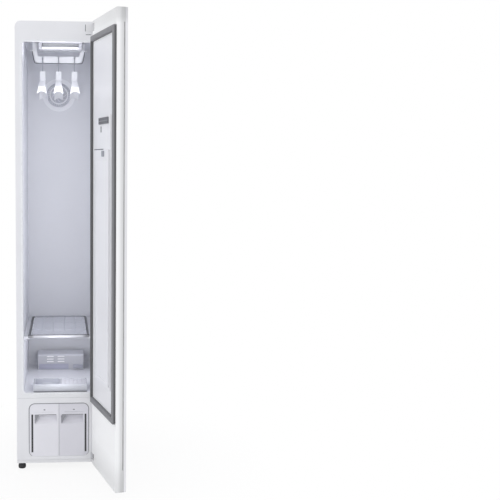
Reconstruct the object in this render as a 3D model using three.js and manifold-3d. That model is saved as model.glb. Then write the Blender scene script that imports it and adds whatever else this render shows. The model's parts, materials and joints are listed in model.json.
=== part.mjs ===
// Clothes care steam cabinet: a slim upright cabinet with a side-hung door, a moving hanger bar,
// a shelf, a lint filter and an aroma case on its floor, and two water tanks in its base.
// Millimetres, +Z up. While it is built, X = 0 is the middle of the case, Y = 0 is its front face
// and Z = 0 is the floor. At the end the whole part is shifted so that its origin is the middle of
// the floor under its bounding box. The door is shown open, as it stands in use.
import * as THREE from "three";
import { mergeVertices } from "three/addons/utils/BufferGeometryUtils.js";
import Module from "manifold-3d";

const wasm = await Module();
wasm.setup();

// Fits shared by all pieces
const seat = 0.3; // left between pieces that touch
const overrun = 4; // how far a cutting shape passes the face that it cuts
const running = 1; // left round pieces that slide or turn

// Case
const caseWidth = 350;
const caseHeight = 1850;
const caseDepth = 575;
const caseCornerRadius = 24;
const sheet = 1.5;
const frameThickness = 14;
const sideBand = 29;
const openingBottom = 324.5;
const topBand = 82; // case top down to the opening
const openingTop = caseHeight - topBand;
const openingCornerRadius = 10;
const panelSeam = 303;
const baseTop = 39;
const baseBottom = 27;
const basePanThickness = 2.5;
const deckThickness = 15;
const caseHalf = caseWidth / 2;
const openingHalf = caseHalf - sideBand;

// Compartment liner
const linerWall = 3;
const rearSpace = 45; // case back to the compartment's back
const ceilingSpace = 50; // case top down to the compartment's ceiling
const compartmentBack = caseDepth - rearSpace;
const compartmentTop = caseHeight - ceilingSpace;
const linerFilletRadius = 30;
const returnAirFromSide = 58;
const returnAirWidth = 118;
const returnAirLeft = -openingHalf + returnAirFromSide;
const returnAirRight = returnAirLeft + returnAirWidth;
const returnAirFromBack = 25;
const returnAirLength = 70;
const returnAirBack = compartmentBack - returnAirFromBack;
const returnAirFront = returnAirBack - returnAirLength;

// Shelf rails moulded on the liner, and the sliding shelf
const shelfHeight = 550;
const railHeight = 12;
const railReach = 22;
const railFront = 70;
const railFromBack = 8;
const railBack = compartmentBack - railFromBack;
const shelfFromSide = 18;
const shelfHalfWidth = openingHalf - shelfFromSide;
const shelfFront = 44;
const shelfFromBack = 14;
const shelfBack = compartmentBack - shelfFromBack;
const shelfCornerRadius = 22;
const shelfFrameWire = 6;
const shelfGridWire = 4;
const weldShare = 0.2; // how far one grid wire lies below the other
const shelfGridCount = 6;
const shelfGridFromSide = 8;
const shelfGridPitch = (2 * (shelfHalfWidth - shelfGridFromSide)) / (shelfGridCount - 1);
const shelfPlateThickness = 4;
const shelfPlateMargin = 14;
const shelfTrimHeight = 13;
const shelfTrimDepth = 9;

// Moving hanger bar and its drive
const barPlane = compartmentBack / 2; // the bar hangs in the middle of the compartment
const barTravel = 12;
const barDepth = 22;
const barEdgeBevel = 2;
const barFromCeiling = 61;
const barHeight = 26.5;
const barTop = compartmentTop - barFromCeiling;
const barBottom = barTop - barHeight;
const armFromSide = 33.5;
const armOuter = openingHalf - armFromSide;
const armWidth = 20;
const armDepth = 14;
const shoulderRise = 24; // top of the bar up to the arms' shoulders
const shoulderHeight = barTop + shoulderRise;
const shoulderReach = 11;
const shoulderThickness = 3;
const armTaper = 9.5; // how far the U draws in from its shoulders to the bar
const barFootWidth = 15;
const barFootOuter = armOuter - armTaper;
const barFootInner = barFootOuter - barFootWidth;
const barCornerRadius = 18;
const saddleRadius = 8;
const saddleDepth = 6;
const saddleWidth = 7;
const hangerPitch = 69;
const yokeLift = 3;
const yokeThickness = 5;
const yokeDepth = 42;
const yokeCornerRadius = 4;
const yokeSlotLength = 34;
const yokeSlotWidth = 9;
const yokeRailFromArm = 17.5;
const yokeRailLength = 2 * (armOuter - armWidth - yokeRailFromArm);
const yokeRailWall = 3.5;
const yokeRailLip = 4;
const yokeRailLipThickness = 2;
const crankRadius = 22;
const crankThickness = 4;
const crankPinRadius = 4;
const crankShaftRadius = 4;
const crankShaftLength = 10;
const motorRadius = 26;
const motorHeight = 17;
const motorFlangeHalfWidth = 42;
const motorFlangeThickness = 2.5;
const pocketFromSide = 25;
const pocketHalfWidth = caseHalf - pocketFromSide;
const pocketDepth = 41;
const pocketLength = 70;

// Ceiling light unit
const lightFromSide = 56;
const lightHalfWidth = openingHalf - lightFromSide;
const lightOffset = 7.7; // the unit sits a little right of the middle
const lightFromBar = 23;
const lightDepth = 92;
const lightHeight = 44;
const lightSlotInset = 13;
const lightSlotHalfWidth = lightHalfWidth - lightSlotInset;
const lightSlotFromCeiling = 18;
const lightSlotHeight = 14.5;
const lightSlotDepth = 26;
const lightEdgeRadius = 6;
const lensMargin = 2.5;
const lensHeight = 7.5;
const lensThickness = 4;

// Clothes hangers
const hookWire = 4;
const hookTipAngle = -12;
const hookFrontAngle = 205;
const hookSides = 6;
const hookSteps = 24;
const hookReach = 38; // bottom of the bar down to a hanger's neck
const neckTop = barBottom - hookReach;
const neckWidth = 25;
const neckLength = 34;
const neckDepth = 32;
const shoulderDrop = 97;
const shoulderSpan = 190;
const shoulderSkirt = 12;
const tipWidth = 41;
const hangerWall = 3;
const shoulderFallPower = 1.35; // above 1, the shoulders leave the neck flat and steepen
const stemSink = 9;

// Rear fan, its grille and housing
const fanFromCeiling = 205;
const fanHeight = compartmentTop - fanFromCeiling;
const fanHoleRadius = 48;
const fanDishRadius = 76;
const fanDishThickness = 4;
const fanDishRim = 1.5;
const fanRingRadius = 54.5;
const fanRingWidth = 6;
const fanRingDepth = 9;
const fanInnerRingRadius = 40;
const fanInnerRingWidth = 3.5;
const fanHubRadius = 13;
const fanVaneThickness = 2;
const fanVaneDepth = 5;
const fanVaneCount = 8;
const fanVaneTurn = 0.9; // radians from a vane's root to its tip
const vaneCurlPower = 1.5;
const impellerRadius = 41;
const impellerDepth = 14;
const impellerHubRadius = 15;
const bladeCount = 7;
const bladeThickness = 2.2;
const bladeTurn = -0.7;
const fanHousingRadius = 60;
const fanHousingWall = 2.5;
const fanShaftRadius = 3;

// Floor tray, lint filter and aroma case
const trayFromLeft = 39;
const trayFromRight = 28;
const trayLeft = -openingHalf + trayFromLeft;
const trayRight = openingHalf - trayFromRight;
const trayFront = 16;
const trayBack = 131;
const trayHeight = 28;
const trayWall = 2.5;
const trayFrontRadius = 18;
const trayDivider = 8.5;
const trayBasketRim = 3;
const filterGripLength = 40;
const filterGripHeight = 6;
const filterMeshRows = 4;
const filterWindowMargin = 9;
const caseLidThickness = 2;
const scentSlotCount = 5;
const scentSlotWidth = 4;

// Duct cover at the back of the floor
const ductFromLeft = 48;
const ductFromRight = 34;
const ductLeft = -openingHalf + ductFromLeft;
const ductRight = openingHalf - ductFromRight;
const ductDepth = 130; // compartment's back to the duct's front
const ductFront = compartmentBack - ductDepth;
const ductTop = 395;
const ductWall = 2.5;
const ductEdgeRadius = 14;
const ductMouthInset = 5;
const ductMouthWidth = 136;
const ductMouthLeft = ductLeft + ductMouthInset;
const ductMouthRight = ductMouthLeft + ductMouthWidth;
const ductMouthTop = 353;
const louvreLength = 33;
const louvreHeight = 4;
const louvrePitch = 12;
const louvreCount = 3;
const louvreInset = 57;
const louvreSpacing = 49;
const louvreLeftMiddle = ductLeft + louvreInset;
const louvreRightMiddle = louvreLeftMiddle + louvreSpacing;
const louvreBottom = 360;
const nozzleInset = 4;
const nozzleWidth = 44;
const nozzleRight = ductRight - nozzleInset;
const nozzleLeft = nozzleRight - nozzleWidth;
const nozzleBottom = 332;
const nozzleTop = 350;
const nozzleReach = 7;
const nozzleSlotMargin = 4;

// Water tanks and their bay
const bayFromSide = 50.7;
const bayHalfWidth = caseHalf - bayFromSide;
const bayBottom = 54;
const bayTop = 279.4;
const bayCornerRadius = 24;
const bayWall = 2.5;
const machineSpace = 245; // case back to the back of the tanks' bay
const bayBack = caseDepth - machineSpace;
const tankSplit = 1.2;
const tankSideGap = 1.4; // the line that shows round the tanks
const tankFrontThickness = 28;
const tankFrontInset = 1;
const tankEdgeRadius = 2.5;
const tankBodyInset = 3;
const tankRearGap = 12;
const tankBodyBack = bayBack - tankRearGap;
const tankBodyTop = 252;
const tankWall = 2.5;
const tankCornerRadius = 20;
const tankLidThickness = 4;
const tankCapRadius = 21;
const tankCapHeight = 9;
const windowFromSide = 13.3;
const windowMiddle = bayHalfWidth - windowFromSide;
const windowWidth = 7.4;
const windowBottom = 72;
const windowTop = 233;
const windowThickness = 2;
const scoopTop = 231.5;
const scoopBottom = 192;
const scoopDepth = 22;
const scoopLip = 3;
const scoopFromSplit = 9;
const scoopFromSide = 23.8;
const markHeight = 243;
const markThickness = 1.6;
const markFromSide = 22.3;
const markInner = 23;
const markOuter = bayHalfWidth - markFromSide;

// Machine room
const compressorFromSide = 80;
const compressorX = caseHalf - compressorFromSide;
const compressorFromBack = 117;
const compressorY = caseDepth - compressorFromBack;
const compressorRadius = 57;
const compressorHeight = 172;
const compressorPlateHalf = 62;
const compressorPlateThickness = 3;
const compressorFootRadius = 11;
const compressorFootHeight = 12;
const compressorBottomShare = 0.8; // share of the radius that is flat below
const compressorShellShares = [
  [1, 0.12],
  [1, 0.8],
  [0.75, 0.95],
]; // shares of the radius and of the height
const coilFinThickness = 1.5;
const coilTubeRadius = 5;
const coilFinCount = 8;
const coilTubeSides = 6;
const coilTubeHeightShares = [0.25, 0.75];
const condenserFromSide = 12;
const condenserToCompressor = 43;
const condenserLeft = -caseHalf + condenserFromSide;
const condenserRight = compressorX - compressorPlateHalf - condenserToCompressor;
const condenserFromBack = 15;
const condenserDepth = 90;
const condenserBottom = 42;
const condenserTop = 240;
const evaporatorFromBay = 15;
const evaporatorDepth = 80;
const evaporatorBottom = 160;
const evaporatorTop = 300;
const coilLegWidth = 3;
const boilerFromSide = 30;
const boilerWidth = 100;
const boilerRight = caseHalf - boilerFromSide;
const boilerLeft = boilerRight - boilerWidth;
const evaporatorFromSide = 65;
const evaporatorToBoiler = 20;
const evaporatorLeft = -caseHalf + evaporatorFromSide;
const evaporatorRight = boilerLeft - evaporatorToBoiler;
const boilerFromBay = 8;
const boilerDepth = 48;
const boilerFront = bayBack + boilerFromBay;
const boilerBack = boilerFront + boilerDepth;
const boilerTop = 200;
const boilerCornerRadius = 14;
const boilerEdge = 2;
const steamPipeRadius = 5.5;
const steamPipeX = (nozzleLeft + nozzleRight) / 2;
const steamPipeFromDuct = 26;
const steamPipeBackY = ductFront + steamPipeFromDuct;
const ventCount = 9;
const ventHeight = 6;
const ventPitch = 18;
const ventBottom = 80;
const ventFromSide = 55;
const ventFromMiddle = 24;
const ventWidth = caseHalf - ventFromSide - ventFromMiddle;
const ventMiddle = ventFromMiddle + ventWidth / 2;

// Levelling feet
const footRadius = 16;
const footPadHeight = 23;
const footPadTaper = 0.45;
const footNeckRadius = 9;
const footNeckTop = 25;
const footStemRadius = 4.2;
const footStemTop = 37;
const footHoleRadius = 4.6;
const footFromSide = 20.5;
const footX = caseHalf - footFromSide;
const footFrontLeftY = 22;
const footFrontRightY = 90;
const footFromBack = 27;
const footRearY = caseDepth - footFromBack;

// Door
const doorThickness = 45;
const doorGap = 15; // door's inner face to the case front, when closed
const doorOpenAngle = 103;
const panelThickness = 12;
const doorWall = 3;
const panelEdgeRadius = 11;
const innerEdgeRadius = 6;
const hingeInset = 20.85; // hinge axis to the door's hinge edge
const hingeSetback = 13.3; // hinge axis to the door's inner face
const gripBottom = 113;
const gripFromTop = 54;
const gripTop = caseHeight - gripFromTop;
const gripWidth = 4;
const gripDepth = 6;
const gripFromSeam = 1.5;
const gasketInset = 17;
const gasketWidth = 23;
const gasketUnder = 32.5; // how far the gasket reaches below the opening
const gasketOver = 20; // and above it
const gasketBottom = openingBottom - gasketUnder;
const gasketTop = openingTop + gasketOver;
const gasketHeight = 13.7;
const gasketBaseHeight = 7;
const gasketLipWidth = 11;
const gasketCornerRadius = 10;
const doorLinerGap = 5;
const doorLinerThickness = 3.5;
const doorLinerCornerRadius = 12;

// Hinges
const topHingeFromTop = 12;
const topHingeHeight = 27;
const bottomHingeFromBase = 6;
const bottomHingeHeight = 25;
const topHingeTop = caseHeight - topHingeFromTop;
const topHingeBottom = topHingeTop - topHingeHeight;
const bottomHingeBottom = baseTop + bottomHingeFromBase;
const bottomHingeTop = bottomHingeBottom + bottomHingeHeight;
const topHingePlateWidth = 43.15; // hinge axis to the plate's inner edge
const bottomHingePlateWidth = 22.15;
const hingePlateCornerRadius = 2;
const hingePlateThickness = 3;
const hingeArmThickness = 7;
const hingeArmHalfWidth = 7;
const hingeEyeRadius = 9;
const hingePinRadius = 4;
const hingePinLength = 22;
const hingeNotchMargin = 2;
const hingeNotchInner = 12;
const hingeNotchDepth = 17;

// Trouser press on the inside of the door
const pressFromFreeSide = 57;
const pressFromHingeSide = 103;
const pressLeft = -caseHalf + pressFromFreeSide;
const pressRight = caseHalf - pressFromHingeSide;
const pressBottom = 408;
const pressFromTop = 388;
const pressTop = caseHeight - pressFromTop;
const pressBaseThickness = 3;
const pressCornerRadius = 8;
const boardFromLeft = 7;
const boardFromRight = 6;
const boardLeft = pressLeft + boardFromLeft;
const boardRight = pressRight - boardFromRight;
const boardFromBottom = 12;
const boardFromTop = 131;
const boardBottom = pressBottom + boardFromBottom;
const boardTop = pressTop - boardFromTop;
const boardThickness = 6;
const boardCornerRadius = 7;
const boardRecess = 1.5;
const boardRecessMargin = 14;
const latchInset = 56;
const latchWidth = 28;
const latchLeft = boardLeft + latchInset;
const latchRight = latchLeft + latchWidth;
const latchFromTop = 4;
const latchHeight = 22;
const latchTop = boardTop - latchFromTop;
const latchBottom = latchTop - latchHeight;
const latchThickness = 4;
const latchPivotRadius = 4;
const clipFromLeft = 25;
const clipFromRight = 36;
const clipLeft = pressLeft + clipFromLeft;
const clipRight = pressRight - clipFromRight;
const clipFromTop = 7;
const clipHeight = 25;
const clipTop = pressTop - clipFromTop;
const clipBottom = clipTop - clipHeight;
const clipThickness = 4;
const clipPinRadius = 3;
const clipSlotHeight = 4;
const clipEdgeMargin = 10;

// Places worked out from the sizes above
const innerHalf = caseHalf - sheet - seat; // inside of the sheet case, where inner pieces fit
const behindFrame = frameThickness + seat;
const backFace = caseDepth - sheet - seat;
const linerOuterHalf = openingHalf + linerWall;
const linerBottom = openingBottom - linerWall;
const linerTop = compartmentTop + linerWall;
const deckTop = linerBottom - seat;
const deckBottom = deckTop - deckThickness;
const machineFloor = baseBottom + basePanThickness + seat;
const yokeBottom = linerTop + yokeLift;
const yokeTop = yokeBottom + yokeThickness;
const saddleTop = barTop - saddleDepth;
const saddleHeight = saddleTop - saddleRadius; // height of the saddles' common axis
const slotSide = barTravel + running;
const doorInner = -doorGap;
const doorOuter = -doorGap - doorThickness;
const hingeX = caseHalf - hingeInset;
const hingeY = doorInner - hingeSetback;
const hingePoint = new THREE.Vector3(hingeX, hingeY, 0);
const lightBack = barPlane - lightFromBar;
const lightFront = lightBack - lightDepth;
const lightBottom = compartmentTop - lightHeight;
const lightSlotTop = compartmentTop - lightSlotFromCeiling;
const lightSlotBottom = lightSlotTop - lightSlotHeight;
const lensBottom = lightBottom + lensMargin;
const lensTop = lensBottom + lensHeight;
const linerFace = doorInner + seat + doorLinerThickness;
const pressFace = linerFace + seat + pressBaseThickness;
const boardFace = pressFace + seat + boardThickness;

// Solids from closed meshes, their joins and cuts, and back to geometry
function solidOf(geometry) {
  const bare = geometry.clone();
  bare.deleteAttribute("normal");
  bare.deleteAttribute("uv");
  const welded = mergeVertices(bare);
  const points = Float32Array.from(welded.attributes.position.array);
  const corners = Uint32Array.from(welded.index.array);
  let volume = 0;
  const [a, b, c] = [new THREE.Vector3(), new THREE.Vector3(), new THREE.Vector3()];
  for (let i = 0; i < corners.length; i += 3) {
    a.fromArray(points, 3 * corners[i]);
    b.fromArray(points, 3 * corners[i + 1]);
    c.fromArray(points, 3 * corners[i + 2]);
    volume += a.dot(b.cross(c));
  }
  if (volume < 0) corners.reverse();
  const mesh = new wasm.Mesh({ numProp: 3, vertProperties: points, triVerts: corners });
  return new wasm.Manifold(mesh);
}

function geometryOf(solid) {
  const mesh = solid.getMesh();
  const geometry = new THREE.BufferGeometry();
  geometry.setAttribute("position", new THREE.BufferAttribute(mesh.vertProperties, 3));
  geometry.setIndex(new THREE.BufferAttribute(mesh.triVerts, 1));
  geometry.computeVertexNormals();
  return geometry;
}

const join = (first, ...rest) => rest.reduce((whole, next) => whole.add(next), first);
const cut = (first, ...rest) => rest.reduce((whole, next) => whole.subtract(next), first);

function block(x, y, z) {
  const geometry = new THREE.BoxGeometry(x[1] - x[0], y[1] - y[0], z[1] - z[0]);
  geometry.translate((x[0] + x[1]) / 2, (y[0] + y[1]) / 2, (z[0] + z[1]) / 2);
  return solidOf(geometry);
}

// An outline with straight sides and one radius for each corner: bottom left, bottom right,
// top right, top left
function outline(left, right, low, high, radii) {
  const [bl, br, tr, tl] = Array.isArray(radii) ? radii : [radii, radii, radii, radii];
  const quarter = Math.PI / 2;
  const shape = new THREE.Shape();
  shape.moveTo(left + bl, low);
  shape.lineTo(right - br, low);
  if (br > 0) shape.absarc(right - br, low + br, br, -quarter, 0);
  shape.lineTo(right, high - tr);
  if (tr > 0) shape.absarc(right - tr, high - tr, tr, 0, quarter);
  shape.lineTo(left + tl, high);
  if (tl > 0) shape.absarc(left + tl, high - tl, tl, quarter, 2 * quarter);
  shape.lineTo(left, low + bl);
  if (bl > 0) shape.absarc(left + bl, low + bl, bl, 2 * quarter, 3 * quarter);
  return shape;
}

function polygon(points) {
  return new THREE.Shape(points.map(([u, v]) => new THREE.Vector2(u, v)));
}

function circle(radius, sides, middleU = 0, middleV = 0) {
  const points = [];
  for (let i = 0; i < sides; i++) {
    const angle = (2 * Math.PI * (i + 0.5)) / sides;
    points.push([middleU + radius * Math.cos(angle), middleV + radius * Math.sin(angle)]);
  }
  return polygon(points);
}

function extruded(shape, length, bevel = 0, smoothness = 3) {
  return new THREE.ExtrudeGeometry(shape, {
    depth: length - 2 * bevel,
    curveSegments: smoothness,
    bevelEnabled: bevel > 0,
    bevelThickness: bevel,
    bevelSize: bevel,
    bevelOffset: -bevel,
    bevelSegments: 2,
  }).translate(0, 0, bevel);
}

// Outlines drawn from the front (x, z), from the side (y, z) and from above (x, y)
function alongY(shape, y0, y1, bevel, smoothness) {
  const geometry = extruded(shape, y1 - y0, bevel, smoothness);
  return solidOf(geometry.rotateX(Math.PI / 2).translate(0, y1, 0));
}

const sideways = new THREE.Matrix4().makeBasis(
  new THREE.Vector3(0, 1, 0),
  new THREE.Vector3(0, 0, 1),
  new THREE.Vector3(1, 0, 0),
);

function alongX(shape, x0, x1, bevel, smoothness) {
  const geometry = extruded(shape, x1 - x0, bevel, smoothness);
  return solidOf(geometry.applyMatrix4(sideways).translate(x0, 0, 0));
}

function alongZ(shape, z0, z1, bevel, smoothness) {
  return solidOf(extruded(shape, z1 - z0, bevel, smoothness).translate(0, 0, z0));
}

// A round bar between two points, and a turned solid about a vertical axis
function rod(from, to, radius, sides = 12) {
  const start = new THREE.Vector3(...from);
  const way = new THREE.Vector3(...to).sub(start);
  const turn = new THREE.Quaternion().setFromUnitVectors(
    new THREE.Vector3(0, 1, 0),
    way.clone().normalize(),
  );
  const geometry = new THREE.CylinderGeometry(radius, radius, way.length(), sides);
  geometry.applyQuaternion(turn);
  const middle = start.addScaledVector(way, 0.5);
  return solidOf(geometry.translate(middle.x, middle.y, middle.z));
}

function turned(profile, sides) {
  const points = profile.map(([r, h]) => new THREE.Vector2(r, h));
  return solidOf(new THREE.LatheGeometry(points, sides).rotateX(Math.PI / 2));
}

// A turned solid about an axis that runs front to back; heights in the profile run forwards
function turnedForwards(profile, sides, x, y, z) {
  const points = profile.map(([r, h]) => new THREE.Vector2(r, h));
  const geometry = new THREE.LatheGeometry(points, sides).rotateX(Math.PI);
  return solidOf(geometry.translate(x, y, z));
}

// A round wire or pipe along a curve
function wire(curve, radius, sides, steps) {
  const shape = circle(radius, sides);
  return solidOf(new THREE.ExtrudeGeometry(shape, { extrudePath: curve, steps }));
}

// Finishes
const paint = {
  enamel: { color: 0xe6e6e8, roughness: 0.35, metalness: 0 },
  liner: { color: 0xc3c8da, roughness: 0.4, metalness: 0 },
  plastic: { color: 0xe8e9ee, roughness: 0.4, metalness: 0 },
  hangerWhite: { color: 0xf6f7fb, roughness: 0.45, metalness: 0 },
  tankWhite: { color: 0xdcdce2, roughness: 0.4, metalness: 0 },
  clear: { color: 0xd4dae4, roughness: 0.12, metalness: 0 },
  smoked: { color: 0x3c3c40, roughness: 0.25, metalness: 0 },
  lens: { color: 0xfcfdff, roughness: 0.3, metalness: 0 },
  foam: { color: 0xe4e0d2, roughness: 0.95, metalness: 0 },
  rubber: { color: 0x8a8c8e, roughness: 0.8, metalness: 0 },
  blackRubber: { color: 0x1c1c1e, roughness: 0.75, metalness: 0 },
  chrome: { color: 0xc8ccd2, roughness: 0.18, metalness: 1 },
  zinc: { color: 0xb4b7ba, roughness: 0.4, metalness: 1 },
  greyPlastic: { color: 0x9a9da6, roughness: 0.5, metalness: 0 },
  blackSteel: { color: 0x26272a, roughness: 0.5, metalness: 0.6 },
  aluminium: { color: 0xc6c9cc, roughness: 0.45, metalness: 1 },
};

function add(group, name, finish, solid) {
  const mesh = new THREE.Mesh(geometryOf(solid), new THREE.MeshStandardMaterial(finish));
  mesh.name = name;
  group.add(mesh);
  return mesh;
}

const part = new THREE.Group();
const cabinet = new THREE.Group();
part.add(cabinet);

// Outer case, front frame and panels
function caseOutline(inset, low) {
  const radius = caseCornerRadius - inset;
  return outline(-caseHalf + inset, caseHalf - inset, low, caseHeight - inset, [0, 0, radius, radius]);
}

function buildCase() {
  const wrap = cut(
    alongY(caseOutline(0, baseTop + seat), behindFrame, backFace),
    alongY(caseOutline(sheet, baseTop - overrun), behindFrame - overrun, backFace + overrun),
  );
  add(cabinet, "outer_case", paint.enamel, wrap);

  const opening = outline(-openingHalf, openingHalf, openingBottom, openingTop, openingCornerRadius);
  const frame = cut(
    alongY(caseOutline(0, panelSeam + seat), 0, frameThickness),
    alongY(opening, -overrun, frameThickness + overrun),
  );
  add(cabinet, "front_frame", paint.enamel, frame);

  const bayMouth = outline(-bayHalfWidth, bayHalfWidth, bayBottom, bayTop, bayCornerRadius);
  const lowerPanel = cut(
    block([-caseHalf, caseHalf], [0, frameThickness], [baseTop + seat, panelSeam]),
    alongY(bayMouth, -overrun, frameThickness + overrun),
  );
  add(cabinet, "lower_front_panel", paint.enamel, lowerPanel);

  let back = alongY(caseOutline(0, baseTop + seat), caseDepth - sheet, caseDepth);
  for (const side of [-1, 1]) {
    for (let i = 0; i < ventCount; i++) {
      const low = ventBottom + i * ventPitch;
      const middle = side * ventMiddle;
      const vent = outline(middle - ventWidth / 2, middle + ventWidth / 2, low, low + ventHeight, 0);
      back = cut(back, alongY(vent, caseDepth - sheet - overrun, caseDepth + overrun));
    }
  }
  add(cabinet, "back_panel", paint.zinc, back);
}

const feet = [
  ["foot_front_left", -footX, footFrontLeftY],
  ["foot_front_right", footX, footFrontRightY],
  ["foot_rear_left", -footX, footRearY],
  ["foot_rear_right", footX, footRearY],
];

function buildBase() {
  let pan = cut(
    block([-caseHalf, caseHalf], [0, caseDepth], [baseBottom, baseTop]),
    block(
      [-caseHalf + basePanThickness, caseHalf - basePanThickness],
      [basePanThickness, caseDepth - basePanThickness],
      [baseBottom + basePanThickness, baseTop + overrun],
    ),
  );
  for (const [name, x, y] of feet) {
    const hole = circle(footHoleRadius, 16, x, y);
    pan = cut(pan, alongZ(hole, baseBottom - overrun, baseTop));
    const foot = turned(
      [
        [0, 0],
        [footRadius - footPadTaper, 0],
        [footRadius, footPadHeight / 2],
        [footNeckRadius, footPadHeight],
        [footNeckRadius, footNeckTop],
        [footStemRadius, footNeckTop],
        [footStemRadius, footStemTop],
        [0, footStemTop],
      ],
      20,
    );
    add(cabinet, name, paint.blackRubber, foot).position.set(x, y, 0);
  }
  add(cabinet, "base_pan", paint.enamel, pan);

  const deck = cut(
    block([-innerHalf, innerHalf], [behindFrame, backFace], [deckBottom, deckTop]),
    returnAirWay(deckBottom, deckTop),
    steamPipeWay(deckBottom, deckTop),
  );
  add(cabinet, "machine_deck", paint.zinc, deck);
}

function returnAirWay(low, high) {
  const across = [returnAirLeft, returnAirRight];
  return block(across, [returnAirFront, returnAirBack], [low - overrun, high + overrun]);
}

function steamPipeWay(low, high) {
  const hole = circle(steamPipeRadius + running, 16, steamPipeX, steamPipeBackY);
  return alongZ(hole, low - overrun, high + overrun);
}

// Liner of the clothes compartment, with its shelf rails, and the foam round it
function sideView(front, back, low, high, radius) {
  return outline(front, back, low, high, [0, radius, radius, 0]);
}

function buildLiner() {
  const outerRadius = linerFilletRadius + linerWall;
  const outerBack = compartmentBack + linerWall;
  const outer = sideView(behindFrame, outerBack, linerBottom, linerTop, outerRadius);
  const innerFront = behindFrame - overrun;
  const radius = linerFilletRadius;
  const inner = sideView(innerFront, compartmentBack, openingBottom, compartmentTop, radius);
  let liner = cut(
    alongX(outer, -linerOuterHalf, linerOuterHalf, 0, 2),
    alongX(inner, -openingHalf, openingHalf, 0, 2),
    rod(
      [0, compartmentBack - overrun, fanHeight],
      [0, outerBack + overrun, fanHeight],
      fanHoleRadius,
      24,
    ),
    returnAirWay(linerBottom, openingBottom),
    steamPipeWay(linerBottom, openingBottom),
  );
  for (const side of [-1, 1]) {
    const armMiddle = side * (armOuter - armWidth / 2);
    const halfSlot = armWidth / 2 + slotSide;
    const slot = block(
      [armMiddle - halfSlot, armMiddle + halfSlot],
      [barPlane - armDepth / 2 - running, barPlane + armDepth / 2 + running],
      [compartmentTop - overrun, linerTop + overrun],
    );
    const wall = side * (openingHalf + linerWall / 2);
    const reach = side * (openingHalf - railReach);
    const railTop = shelfHeight - seat;
    const rail = block(
      [Math.min(wall, reach), Math.max(wall, reach)],
      [railFront, railBack],
      [railTop - railHeight, railTop],
    );
    liner = join(cut(liner, slot), rail);
  }
  add(cabinet, "inner_liner", paint.liner, liner);
}

function buildInsulation() {
  const plan = new THREE.Shape();
  const inside = linerOuterHalf + seat;
  const linerBack = compartmentBack + linerWall + seat;
  plan.moveTo(-innerHalf, behindFrame);
  plan.lineTo(-inside, behindFrame);
  plan.lineTo(-inside, linerBack);
  plan.lineTo(inside, linerBack);
  plan.lineTo(inside, behindFrame);
  plan.lineTo(innerHalf, behindFrame);
  plan.lineTo(innerHalf, backFace - seat);
  plan.lineTo(-innerHalf, backFace - seat);
  const fanWay = rod(
    [0, linerBack - overrun, fanHeight],
    [0, backFace + overrun, fanHeight],
    fanHousingRadius + running,
    24,
  );
  const wrap = cut(alongZ(plan, deckTop + seat, linerTop), fanWay);
  add(cabinet, "insulation_wrap", paint.foam, wrap);

  const topRadius = caseCornerRadius - sheet - seat;
  const topOutline = outline(
    -innerHalf,
    innerHalf,
    linerTop + seat,
    caseHeight - sheet - seat,
    [0, 0, topRadius, topRadius],
  );
  const top = cut(
    alongY(topOutline, behindFrame, backFace - seat),
    block(
      [-pocketHalfWidth, pocketHalfWidth],
      [barPlane - pocketLength / 2, barPlane + pocketLength / 2],
      [linerTop - overrun, linerTop + pocketDepth],
    ),
  );
  add(cabinet, "insulation_top", paint.foam, top);
}

// Ceiling light unit
function buildLight() {
  const slotLeft = lightOffset - lightSlotHalfWidth;
  const slotRight = lightOffset + lightSlotHalfWidth;
  const side = outline(lightFront, lightBack, lightBottom, compartmentTop - seat, [
    lightEdgeRadius,
    lightEdgeRadius,
    0,
    0,
  ]);
  const body = cut(
    alongX(side, lightOffset - lightHalfWidth, lightOffset + lightHalfWidth),
    block(
      [slotLeft, slotRight],
      [lightFront - overrun, lightFront + lightSlotDepth],
      [lightSlotBottom, lightSlotTop],
    ),
    block(
      [slotLeft - seat, slotRight + seat],
      [lightFront - overrun, lightFront + lensThickness + seat],
      [lensBottom - seat, lensTop + seat],
    ),
  );
  add(cabinet, "ceiling_unit", paint.plastic, body);
  const lens = block(
    [slotLeft, slotRight],
    [lightFront, lightFront + lensThickness],
    [lensBottom, lensTop],
  );
  add(cabinet, "light_lens", paint.lens, lens);
}

// Moving hanger bar, with the yoke, crank and motor above the ceiling
function barOutline() {
  const armInner = armOuter - armWidth;
  const armTop = yokeBottom - seat;
  const flare = (armOuter - barFootOuter) / 2;
  const shape = new THREE.Shape();
  shape.moveTo(armInner, armTop);
  shape.lineTo(armInner, shoulderHeight);
  shape.lineTo(barFootInner + flare / 2, barTop + flare);
  shape.quadraticCurveTo(barFootInner, barTop, barFootInner - flare, barTop);
  shape.lineTo(-barFootInner + flare, barTop);
  shape.quadraticCurveTo(-barFootInner, barTop, -barFootInner - flare / 2, barTop + flare);
  shape.lineTo(-armInner, shoulderHeight);
  shape.lineTo(-armInner, armTop);
  shape.lineTo(-armOuter, armTop);
  shape.lineTo(-armOuter, shoulderHeight + shoulderThickness);
  shape.lineTo(-armOuter - shoulderReach, shoulderHeight + shoulderThickness);
  shape.lineTo(-armOuter - shoulderReach, shoulderHeight);
  shape.lineTo(-armOuter, shoulderHeight);
  shape.lineTo(-barFootOuter, barBottom + barCornerRadius);
  shape.quadraticCurveTo(-barFootOuter + flare / 2, barBottom, -barFootOuter + barCornerRadius, barBottom);
  shape.lineTo(barFootOuter - barCornerRadius, barBottom);
  shape.quadraticCurveTo(barFootOuter - flare / 2, barBottom, barFootOuter, barBottom + barCornerRadius);
  shape.lineTo(armOuter, shoulderHeight);
  shape.lineTo(armOuter + shoulderReach, shoulderHeight);
  shape.lineTo(armOuter + shoulderReach, shoulderHeight + shoulderThickness);
  shape.lineTo(armOuter, shoulderHeight + shoulderThickness);
  shape.lineTo(armOuter, armTop);
  return shape;
}

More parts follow.
